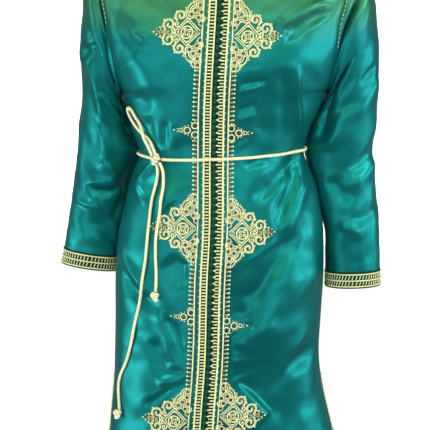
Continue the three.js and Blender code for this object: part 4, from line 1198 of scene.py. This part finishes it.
def scroll_lines(flip):
    """Two spirals side by side, each from the tip's side over its top and in to its middle."""
    lines = [spiral(row["a"], row["b"], row["r"], -0.16 * TAU, 1.3, 0.16) for row in SCROLLS]
    return [line * np.array([1, flip]) for line in lines]


def beside(line, offset):
    """A line set off to one side of another."""
    along = unit(np.gradient(line, axis=0))
    return line + np.stack([-along[:, 1], along[:, 0]], axis=-1) * offset


def big_motif(motif):
    """A half diamond of scrolls and rounds, with a tip of sequins and beads."""
    for flip in (1, -1):
        both = np.array([1, flip])
        for row in LOBES:
            motif.round_fill(row["a"], flip * row["b"], row["r"] * 0.82)
            turns = TAU * np.linspace(row["from_turn"], row["to_turn"], 12)
            round_it = np.stack([np.cos(turns), np.sin(turns)], axis=-1)
            middle = np.array([row["a"], row["b"]])
            motif.cord((middle + round_it * row["r"]) * both, wide=0.0023, high=0.0019, lift=0.0015)
            motif.beads((middle + round_it[::2] * (row["r"] + 0.0021)) * both, scale=0.85)
        for row in FILLS:
            motif.round_fill(row["a"], flip * row["b"], row["r"] * 0.85)
        for row in SEQUIN_CELLS:
            motif.cell(row["a"], flip * row["b"])
        for line in scroll_lines(flip):
            for offset in (0.0011, -0.0011):
                motif.cord(beside(line, offset), wide=0.0023, high=0.0019, lift=0.0018)
        for row in SCROLLS:
            motif.sequins([(row["a"], flip * row["b"])], scale=0.9)
        for row in RIM_BEADS:
            motif.beads([(row["a"], flip * row["b"])], scale=1.35)
        for start, end in DIAMOND_SIDES:
            for inner in (1.0, 0.8):
                line = straight(mix(DIAMOND_A, start[0], inner), start[1] * inner,
                                mix(DIAMOND_A, end[0], inner), end[1] * inner)
                motif.cord(line * both, wide=0.0024)
    motif.cord(circle(RING_A, RING_B, 0.0105, 34), wide=0.0032, high=0.0021, lift=0.0019, closed=True)
    for turn in range(4):
        angle = TAU * (turn + 0.5) / 4
        a = RING_A + 0.0051 * math.cos(angle)
        b = RING_B + 0.0051 * math.sin(angle)
        motif.cord(spiral(a, b, 0.0034, angle, 1.1, 0.35), wide=0.0022, high=0.0018, lift=0.0019)
    motif.sequins([(RING_A, RING_B)], scale=1.1)
    for row in CORNER_BEADS:
        motif.beads([(row["a"], row["b"])], scale=1.3)
    for row in TIP_CELLS:
        motif.sequins([(row["a"], row["b"])], scale=1.6)
    for row in TIP_BEADS:
        motif.beads([(row["a"], row["b"])], scale=1.15)
    motif.beads([(0.1185, 0.0)], scale=1.7)


def small_motif(motif):
    """Three rings and a pointed row of beads."""
    for a, b in ((0.0362, 0.0088), (0.0362, -0.0088), (0.0502, 0.0)):
        motif.cord(circle(a, b, 0.0058, 18), wide=0.0028, high=0.002, lift=0.0018, closed=True)
        motif.sequins([(a, b)], scale=1.2)
    motif.cord(circle(0.0622, 0.0, 0.0032, 12), wide=0.002, closed=True)
    motif.sequins([(0.0622, 0.0)], scale=0.7)
    motif.beads([(0.068, 0.0025), (0.068, -0.0025), (0.0585, 0.0042), (0.0585, -0.0042)], scale=1.0)
    motif.beads([(0.0745, 0.0)], scale=1.5)
    for flip in (1, -1):
        marks = [(0.043, 0.0145), (0.036, 0.018), (0.0485, 0.0095), (0.0545, 0.0075)]
        motif.beads(np.array(marks) * np.array([1, flip]), scale=1.0)


# How far a column of knobs stops short of the middle of a big motif and of a small one.
BIG_CLEAR = 0.058
SMALL_CLEAR = 0.016


def column_free(side, z):
    """Where a column of knobs runs, between the motifs."""
    free = np.ones(np.shape(z), bool)
    for motif in MOTIFS:
        reach = BIG_CLEAR if motif["big"] else SMALL_CLEAR
        free &= np.abs(z - motif[side]) > reach
    return free


# How far each side's motifs are set out from the placket, past their places in the tables.
MOTIF_SHIFT = {"right": 0.0, "left": -0.005}


def make_embroidery(gold, sequins, shapes):
    for side, spec in BRAIDS.items():
        stock = Stock()
        dark = Stock()
        front_cord(stock, side, spec["column"], wide=0.0033, high=0.0022, lift=0.0016)
        z = levels(TRIM_LOW[side] + 0.004, TRIM_TOP - 0.003, COLUMN_PITCH)
        z = z[column_free(side, z)]
        sign = SIDES[side]
        set_row(stock, shapes["knob"], side, spec["knobs"], z, lift=0.0016, along=(sign, 0, 0.25))
        slant_z = z - 0.0004
        set_row(stock, shapes["slant"], side, spec["slants"], slant_z, lift=0.0014, along=(sign, 0, 0.12))
        between_z = z + COLUMN_PITCH / 2
        set_row(dark, shapes["sequin"], side, spec["sequins"], between_z, lift=0.0014, scale=1.3)
        for row in MOTIFS:
            motif = Motif(side, row[side], MOTIF_SHIFT[side], stock, dark, shapes)
            if row["big"]:
                big_motif(motif)
            else:
                small_motif(motif)
        stock.piece(f"couched_cord_{side}", gold, "gold_cordwork", f"embroidery_{side}")
        dark.piece(f"sequins_{side}", sequins, "gold_cordwork")


# ---- Braids of the cuffs, hem, slits and neck ----
# Rings of the sleeve where the cuff begins and where its cords run, and the size of its silk laid flat.
CUFF_FROM = 11.95
CUFF_CORDS = (12.11, 12.49, 12.87)
CUFF_RUNGS = 54
CUFF_SIZE = (0.3, 0.026)


def cuff_place(side):
    def place(u, v):
        turn = u if side == "left" else 1 - u
        return sleeve_surface(side, turn, mix(RINGS, CUFF_FROM, v), 0.0011)[0]
    return place


def make_cuffs(gold, silk, shapes):
    for side in SIDES:
        silk_ground(f"cuff_ground_{side}", 96, 8, cuff_place(side), CUFF_SIZE, silk, True)
        stock = Stock()
        turn = np.arange(150) / 150
        if side == "left":
            turn = turn[::-1]
        for ring in CUFF_CORDS:
            points, out = sleeve_surface(side, turn, ring, 0.0022)
            stock.thread(points, out, wide=0.0029, high=0.0022, sides=8, strands=2, twist=0.012,
                         ridge=0.06, closed=True)
        turn = np.arange(CUFF_RUNGS) / CUFF_RUNGS
        for low, high in zip(CUFF_CORDS, CUFF_CORDS[1:]):
            points, out = sleeve_surface(side, turn, (low + high) / 2, 0.0016)
            stock.copies(shapes["cuff_rung"], points, out, (0.35, 0, 1))
        stock.piece(f"cuff_cord_{side}", gold, "gold_braid", f"cuff_braid_{side}")


def edge_braid(name, node, points, out, gold, shapes):
    """A narrow braid: two twisted cords side by side with small picots."""
    stock = Stock()
    inward = np.cross(out, unit(np.gradient(points, axis=0)))
    for offset in (0.0016, 0.0048):
        stock.thread(points + inward * offset + out * 0.0018, out, wide=0.0036, high=0.0026,
                     sides=8, strands=3, twist=0.012, ridge=0.1)
    picots = points + inward * 0.0078 + out * 0.0014
    stock.copies(shapes["picot"], picots[::4], out[::4], inward[::4])
    stock.piece(name, gold, "gold_braid", node)


def spaced(points, out, step=BRAID_STEP):
    """The same line with its points a set distance apart."""
    lengths = np.concatenate([[0], np.cumsum(np.linalg.norm(np.diff(points, axis=0), axis=-1))])
    at = levels(0, lengths[-1], step)
    points = np.stack([np.interp(at, lengths, points[:, k]) for k in range(3)], axis=-1)
    out = np.stack([np.interp(at, lengths, out[:, k]) for k in range(3)], axis=-1)
    return points, unit(out)


def panel_edge(face, column, u, v):
    """Points and normals along a panel's edge, at column and row shares."""
    points = panel_place(face, column)(u, v)
    _, out = surface(face, points[:, 0], points[:, 2])
    return points, out


# How far inside the shoulder seam the neck's braids end.
SEAM_IN = 0.0004
# How many points of the hem and of a slit a braid's line is drawn through.
HEM_POINTS = 160
SLIT_POINTS = 60
SLIT_SHARE = ROW_SPLIT * (SLIT_TOP_Z - HEM_BASE_Z) / (UNDERARM_Z - HEM_BASE_Z)


def make_edges(gold, shapes):
    """The narrow braids. Each line runs so that its braid lies on the cloth and not past its edge."""
    hem = np.linspace(0.996, 0.004, HEM_POINTS)
    low = np.zeros(HEM_POINTS)
    slit = np.linspace(0.012, SLIT_SHARE, SLIT_POINTS)
    for side in SIDES:
        column = front_column(side)
        points, out = spaced(*panel_edge("front", column, hem, low))
        edge_braid(f"hem_cord_front_{side}", f"hem_braid_front_{side}", points, out, gold, shapes)
        share = 1.0 if side == "left" else 0.0
        order = slit if side == "right" else slit[::-1]
        edge = np.full(SLIT_POINTS, share)
        points, out = spaced(*panel_edge("front", column, edge, order[::-1]))
        edge_braid(f"slit_cord_front_{side}", f"slit_braid_front_{side}", points, out, gold, shapes)
        points, out = spaced(*panel_edge("back", back_column, 1 - edge, order))
        edge_braid(f"slit_cord_back_{side}", f"slit_braid_back_{side}", points, out, gold, shapes)
        reach = np.linspace(0.006, NECK_HALF - SEAM_IN, 60)
        x = reach if side == "left" else -reach[::-1]
        points, out = spaced(*surface("front", x, top_z("front", x)))
        edge_braid(f"neck_cord_front_{side}", f"neck_braid_front_{side}", points, out, gold, shapes)
    points, out = spaced(*panel_edge("back", back_column, hem, low))
    edge_braid("hem_cord_back", "hem_braid_back", points, out, gold, shapes)
    x = np.linspace(NECK_HALF - SEAM_IN, SEAM_IN - NECK_HALF, 90)
    points, out = spaced(*surface("back", x, top_z("back", x)))
    edge_braid("neck_cord_back", "neck_braid_back", points, out, gold, shapes)


# The stitches' ring on the sleeve, just past the seam, and how far apart they are.
STITCH_RING = 0.14
STITCH_PITCH = 0.0085
# Below these levels the front of the seam is folded in, with its stitches.
STITCHED_TO = {"right": -0.165, "left": -0.208}


def make_armhole_stitches(gold, shapes):
    """A row of gold stitches along each armhole seam."""
    stock = Stock()
    for side in SIDES:
        turn = np.linspace(0.02, 0.98, 150)
        points, out = spaced(*sleeve_surface(side, turn, STITCH_RING, 0.0012), STITCH_PITCH)
        shown = (out[:, 1] > 0) | (points[:, 2] > STITCHED_TO[side])
        along = np.gradient(points, axis=0)
        stock.copies(shapes["seam_stitch"], points[shown], out[shown], along[shown])
    stock.piece("armhole_stitches", gold, "gold_braid")


# ---- Cord belt ----
# The cord's thickness, how far its middle lies off the cloth, and how much farther over the placket.
CORD = 0.0058
CORD_OFF = 0.0034
OVER_TRIM = 0.0034
BELT_STEP = 0.003
# Where the knots are, how far each stands off the cloth, and half their sizes.
KNOT = {"x": -0.118, "z": -0.4125, "off": 0.0104, "half_x": 0.0066}
TAIL_KNOT = {"off": 0.0088, "half_z": 0.0085}
TIP_BEAD_X = {"right": -0.002, "left": 0.0022}
SEAM_GAP = 0.0003
BELT_LEVELS = table("s front back", [
    (-1, -0.409, -0.409), (-0.72, -0.4125, -0.408), (0, -0.408, -0.402), (0.6, -0.403, -0.398),
    (1, -0.399, -0.399),
])
# Routes are x and z on the front, and how far the cord stands off the cloth there.
TAILS = {
    "right": table("x z off", [
        (-0.1185, -0.423, 0.004), (-0.1176, -0.435, 0.002), (-0.1185, -0.4497, 0.001),
        (-0.1228, -0.4714, 0), (-0.1278, -0.4889, 0), (-0.133, -0.5227, 0),
        (-0.1381, -0.5624, 0), (-0.1426, -0.604, 0), (-0.1477, -0.6365, 0),
        (-0.1562, -0.6862, 0), (-0.165, -0.7337, 0), (-0.172, -0.7745, 0),
        (-0.1826, -0.81, 0), (-0.1916, -0.8362, 0), (-0.1951, -0.8578, 0),
        (-0.196, -0.8811, 0), (-0.196, -0.9056, 0),
    ]),
    "left": table("x z off", [
        (-0.1129, -0.4191, 0.004), (-0.1088, -0.429, 0.003), (-0.1065, -0.4416, 0.002),
        (-0.1058, -0.4634, 0.002), (-0.1079, -0.4856, 0.002), (-0.1132, -0.5136, 0.002),
        (-0.1188, -0.5401, 0.002), (-0.1219, -0.5628, 0.001), (-0.1224, -0.5925, 0.0005),
        (-0.1219, -0.6307, 0.0005), (-0.1227, -0.6602, 0.0005),
    ]),
}
BOW = table("x z off", [
    (-0.1186, -0.4042, 0.005), (-0.126, -0.3908, 0.0025), (-0.1345, -0.3786, 0.0006),
    (-0.1402, -0.3717, 0.0004), (-0.149, -0.3636, 0.0004), (-0.158, -0.3536, 0.0004),
    (-0.1664, -0.3408, 0.0004), (-0.172, -0.3295, 0.0006), (-0.1735, -0.3213, 0.0014),
    (-0.1705, -0.3161, 0.002), (-0.1657, -0.3199, 0.0016), (-0.1595, -0.3315, 0.0008),
    (-0.1527, -0.3445, 0.001), (-0.1467, -0.3576, 0.0036), (-0.1413, -0.3711, 0.0066),
    (-0.1371, -0.381, 0.0066), (-0.1315, -0.3915, 0.0064), (-0.1249, -0.4052, 0.006),
])


def through(points, step):
    """A smooth line through points, as centripetal curves, with its points a set distance apart."""
    points = np.asarray(points, float)
    ends = np.vstack([2 * points[0] - points[1], points, 2 * points[-1] - points[-2]])
    parts = []
    for i in range(len(points) - 1):
        p0, p1, p2, p3 = ends[i:i + 4]
        t1 = np.linalg.norm(p1 - p0) ** 0.5
        t2 = t1 + np.linalg.norm(p2 - p1) ** 0.5
        t3 = t2 + np.linalg.norm(p3 - p2) ** 0.5
        t = np.linspace(t1, t2, 13)[:-1, None]
        a1 = (t1 - t) / t1 * p0 + t / t1 * p1
        a2 = (t2 - t) / (t2 - t1) * p1 + (t - t1) / (t2 - t1) * p2
        a3 = (t3 - t) / (t3 - t2) * p2 + (t - t2) / (t3 - t2) * p3
        b1 = (t2 - t) / t2 * a1 + t / t2 * a2
        b2 = (t3 - t) / (t3 - t1) * a2 + (t - t1) / (t3 - t1) * a3
        parts.append((t2 - t) / (t2 - t1) * b1 + (t - t1) / (t2 - t1) * b2)
    parts.append(points[-1:])
    line = np.vstack(parts)
    return spaced(line, np.zeros_like(line), step)[0]


def frames_along(points):
    """Up directions that turn with a line as little as they can."""
    tangents = unit(np.gradient(points, axis=0))
    ups = [np.cross(tangents[0], [0.3, 0.1, 1.0])]
    for tangent in tangents[1:]:
        up = ups[-1] - tangent * np.dot(ups[-1], tangent)
        ups.append(up / np.linalg.norm(up))
    ups[0] = ups[0] / np.linalg.norm(ups[0])
    return np.array(ups)


def cord_piece(name, route, material, node, step=CORD_STEP):
    """A twisted cord along a route, and the line down its middle."""
    line = through(route, step)
    stock = Stock()
    stock.thread(line, frames_along(line), CORD * 0.98, sides=12, strands=3, twist=0.017, ridge=0.07)
    return stock.piece(name, material, "cream_cord", node), line


def route_point(row):
    return surface("front", row["x"], row["z"], CORD_OFF + row["off"])[0]


def belt_point(face, s):
    z = read(BELT_LEVELS, "s", face, s)
    x = s * half_width(s, z)
    if abs(s) > 0.999:
        return np.array([float(x + math.copysign(CORD_OFF, s)), 0.0, float(z)])
    from_placket = abs(x - placket_x(z))
    over = OVER_TRIM * (1 - smooth(COLUMN_EDGE + 0.002, COLUMN_EDGE + 0.02, from_placket))
    return surface(face, x, z, CORD_OFF + (over if face == "front" else 0))[0]


def make_belt(cream, pearl, shapes):
    knot_share = KNOT["x"] / float(half_width(-1, KNOT["z"]))
    gap_share = (KNOT["half_x"] + SEAM_GAP * 2) / float(half_width(-1, KNOT["z"]))
    front = [belt_point("front", s) for s in [*np.linspace(knot_share + gap_share, 0.96, 19), 0.99]]
    back = [belt_point("back", s) for s in [0.99, *np.linspace(0.96, -0.96, 23), -0.99]]
    short = [belt_point("front", s) for s in [-0.99, *np.linspace(-0.96, knot_share - gap_share, 5)]]
    around = [*front, belt_point("front", 1), *back, belt_point("front", -1), *short]
    cord_piece("belt_cord_round", around, cream, "belt_cord", BELT_STEP)

    centre = surface("front", KNOT["x"], KNOT["z"], KNOT["off"])[0]
    make_knot(centre, cream)

    loop, line = cord_piece("bow_cord", [route_point(row) for row in BOW], cream, "bow_loop")
    for side, rows in TAILS.items():
        tail, line = cord_piece(f"tail_cord_{side}", [route_point(row) for row in rows], cream,
                                f"belt_tail_{side}")
        end = rows[-1]
        knot_z = end["z"] - TAIL_KNOT["half_z"] - SEAM_GAP
        middle = surface("front", end["x"], knot_z, TAIL_KNOT["off"])[0]
        knot_pieces = make_tail_knot(side, middle, cream, pearl, shapes)


def make_knot(centre, cream):
    """The belt's knot: nearly three wraps of cord round a slanting line, drawn tight."""
    stock = Stock()
    slant = unit(np.array([-0.66, 0.0, -0.75]))
    outward = np.array([0.0, -1.0, 0.0])
    sideways = np.cross(slant, outward)
    t = np.linspace(0, 1, 70)
    turn = TAU * 2.9 * t + 0.6
    reach = 0.0036 + 0.0012 * np.sin(np.pi * t)
    along = mix(-0.0088, 0.0098, t)
    wrap = centre + slant * along[:, None] + sideways * (reach * np.sin(turn))[:, None]
    wrap = wrap + outward * (reach * np.cos(turn))[:, None]
    stock.thread(wrap, frames_along(wrap), CORD * 0.98, sides=12, strands=3, twist=0.0135, ridge=0.07)
    heart = centre + slant * np.linspace(-0.0075, 0.0075, 9)[:, None]
    stock.thread(heart, (0, -1, 0), CORD * 0.9, sides=12)
    stock.piece("belt_knot_tied", cream, "cream_cord", "belt_knot")


def make_tail_knot(side, middle, cream, pearl, shapes):
    """An overhand knot at a tail's end, with a small pearl at the cord's tip below it."""
    t = TAU * np.arange(72) / 72
    x = 0.0021 * (np.sin(t) + 2 * np.sin(2 * t))
    y = 0.0028 * np.sin(3 * t)
    z = 0.0023 * (np.cos(t) - 2 * np.cos(2 * t)) + 0.0012
    ring = middle + np.stack([x, y, z], axis=-1)
    stock = Stock()
    stock.thread(ring, unit(ring - middle + 1e-6), CORD * 0.95, sides=10, strands=3, twist=0.012,
                 ridge=0.07, closed=True)
    piece = stock.piece(f"tail_knot_tied_{side}", cream, "cream_cord", f"tail_knot_{side}")
    beads = Stock()
    place = middle + np.array([TIP_BEAD_X[side], -0.0012, -0.0062])
    beads.copies(shapes["tip_bead"], place, (0, 0, 1), (1, 0, 0))
    return [piece, beads.piece(f"tip_bead_{side}", pearl)]


# ---- Everything, in the order it is made ----
deselect()
make_camera()
make_lights()
make_studio()

SATIN = satin_finish()
GOLD = thread_finish("gold_thread", *GOLD_COLORS, metal=0.12, pitch=0.0016, roughness=0.3,
                     rim=GOLD_PAINTED_SHADE)
CREAM = thread_finish("cream_cord", *CREAM_COLORS, metal=0.05, pitch=0.0031, roughness=0.42)
GROUND_SILK = silk_finish("green_silk", *GROUND_COLORS)
KNOT_SILK = silk_finish("knot_silk", *KNOT_COLORS)
SEQUINS = sequin_finish()
PEARL = pearl_finish()
SHAPES = {
    "bead": bead_shape(0.0026, 0.0022),
    "knob": bead_shape(0.0042, 0.0026),
    "picot": bead_shape(0.0028, 0.002),
    "loop_bump": stitch_shape(0.0056, 0.0034),
    "slant": stitch_shape(0.0052, 0.0015),
    "rung": stitch_shape(0.0088, 0.0027),
    "cuff_rung": stitch_shape(0.0098, 0.0021),
    "seam_stitch": stitch_shape(0.0046, 0.0015),
    "button": bead_shape(0.0088, 0.0056),
    "neck": bead_shape(0.0046, 0.0028),
    "sequin": sequin_shape(0.0036),
    "tip_bead": bead_shape(0.0096, 0.0072),
}

make_belt(CREAM, PEARL, SHAPES)
make_body(SATIN)
make_placket(GOLD, GROUND_SILK, KNOT_SILK, SHAPES)
make_embroidery(GOLD, SEQUINS, SHAPES)
make_cuffs(GOLD, GROUND_SILK, SHAPES)
make_edges(GOLD, SHAPES)
make_armhole_stitches(GOLD, SHAPES)
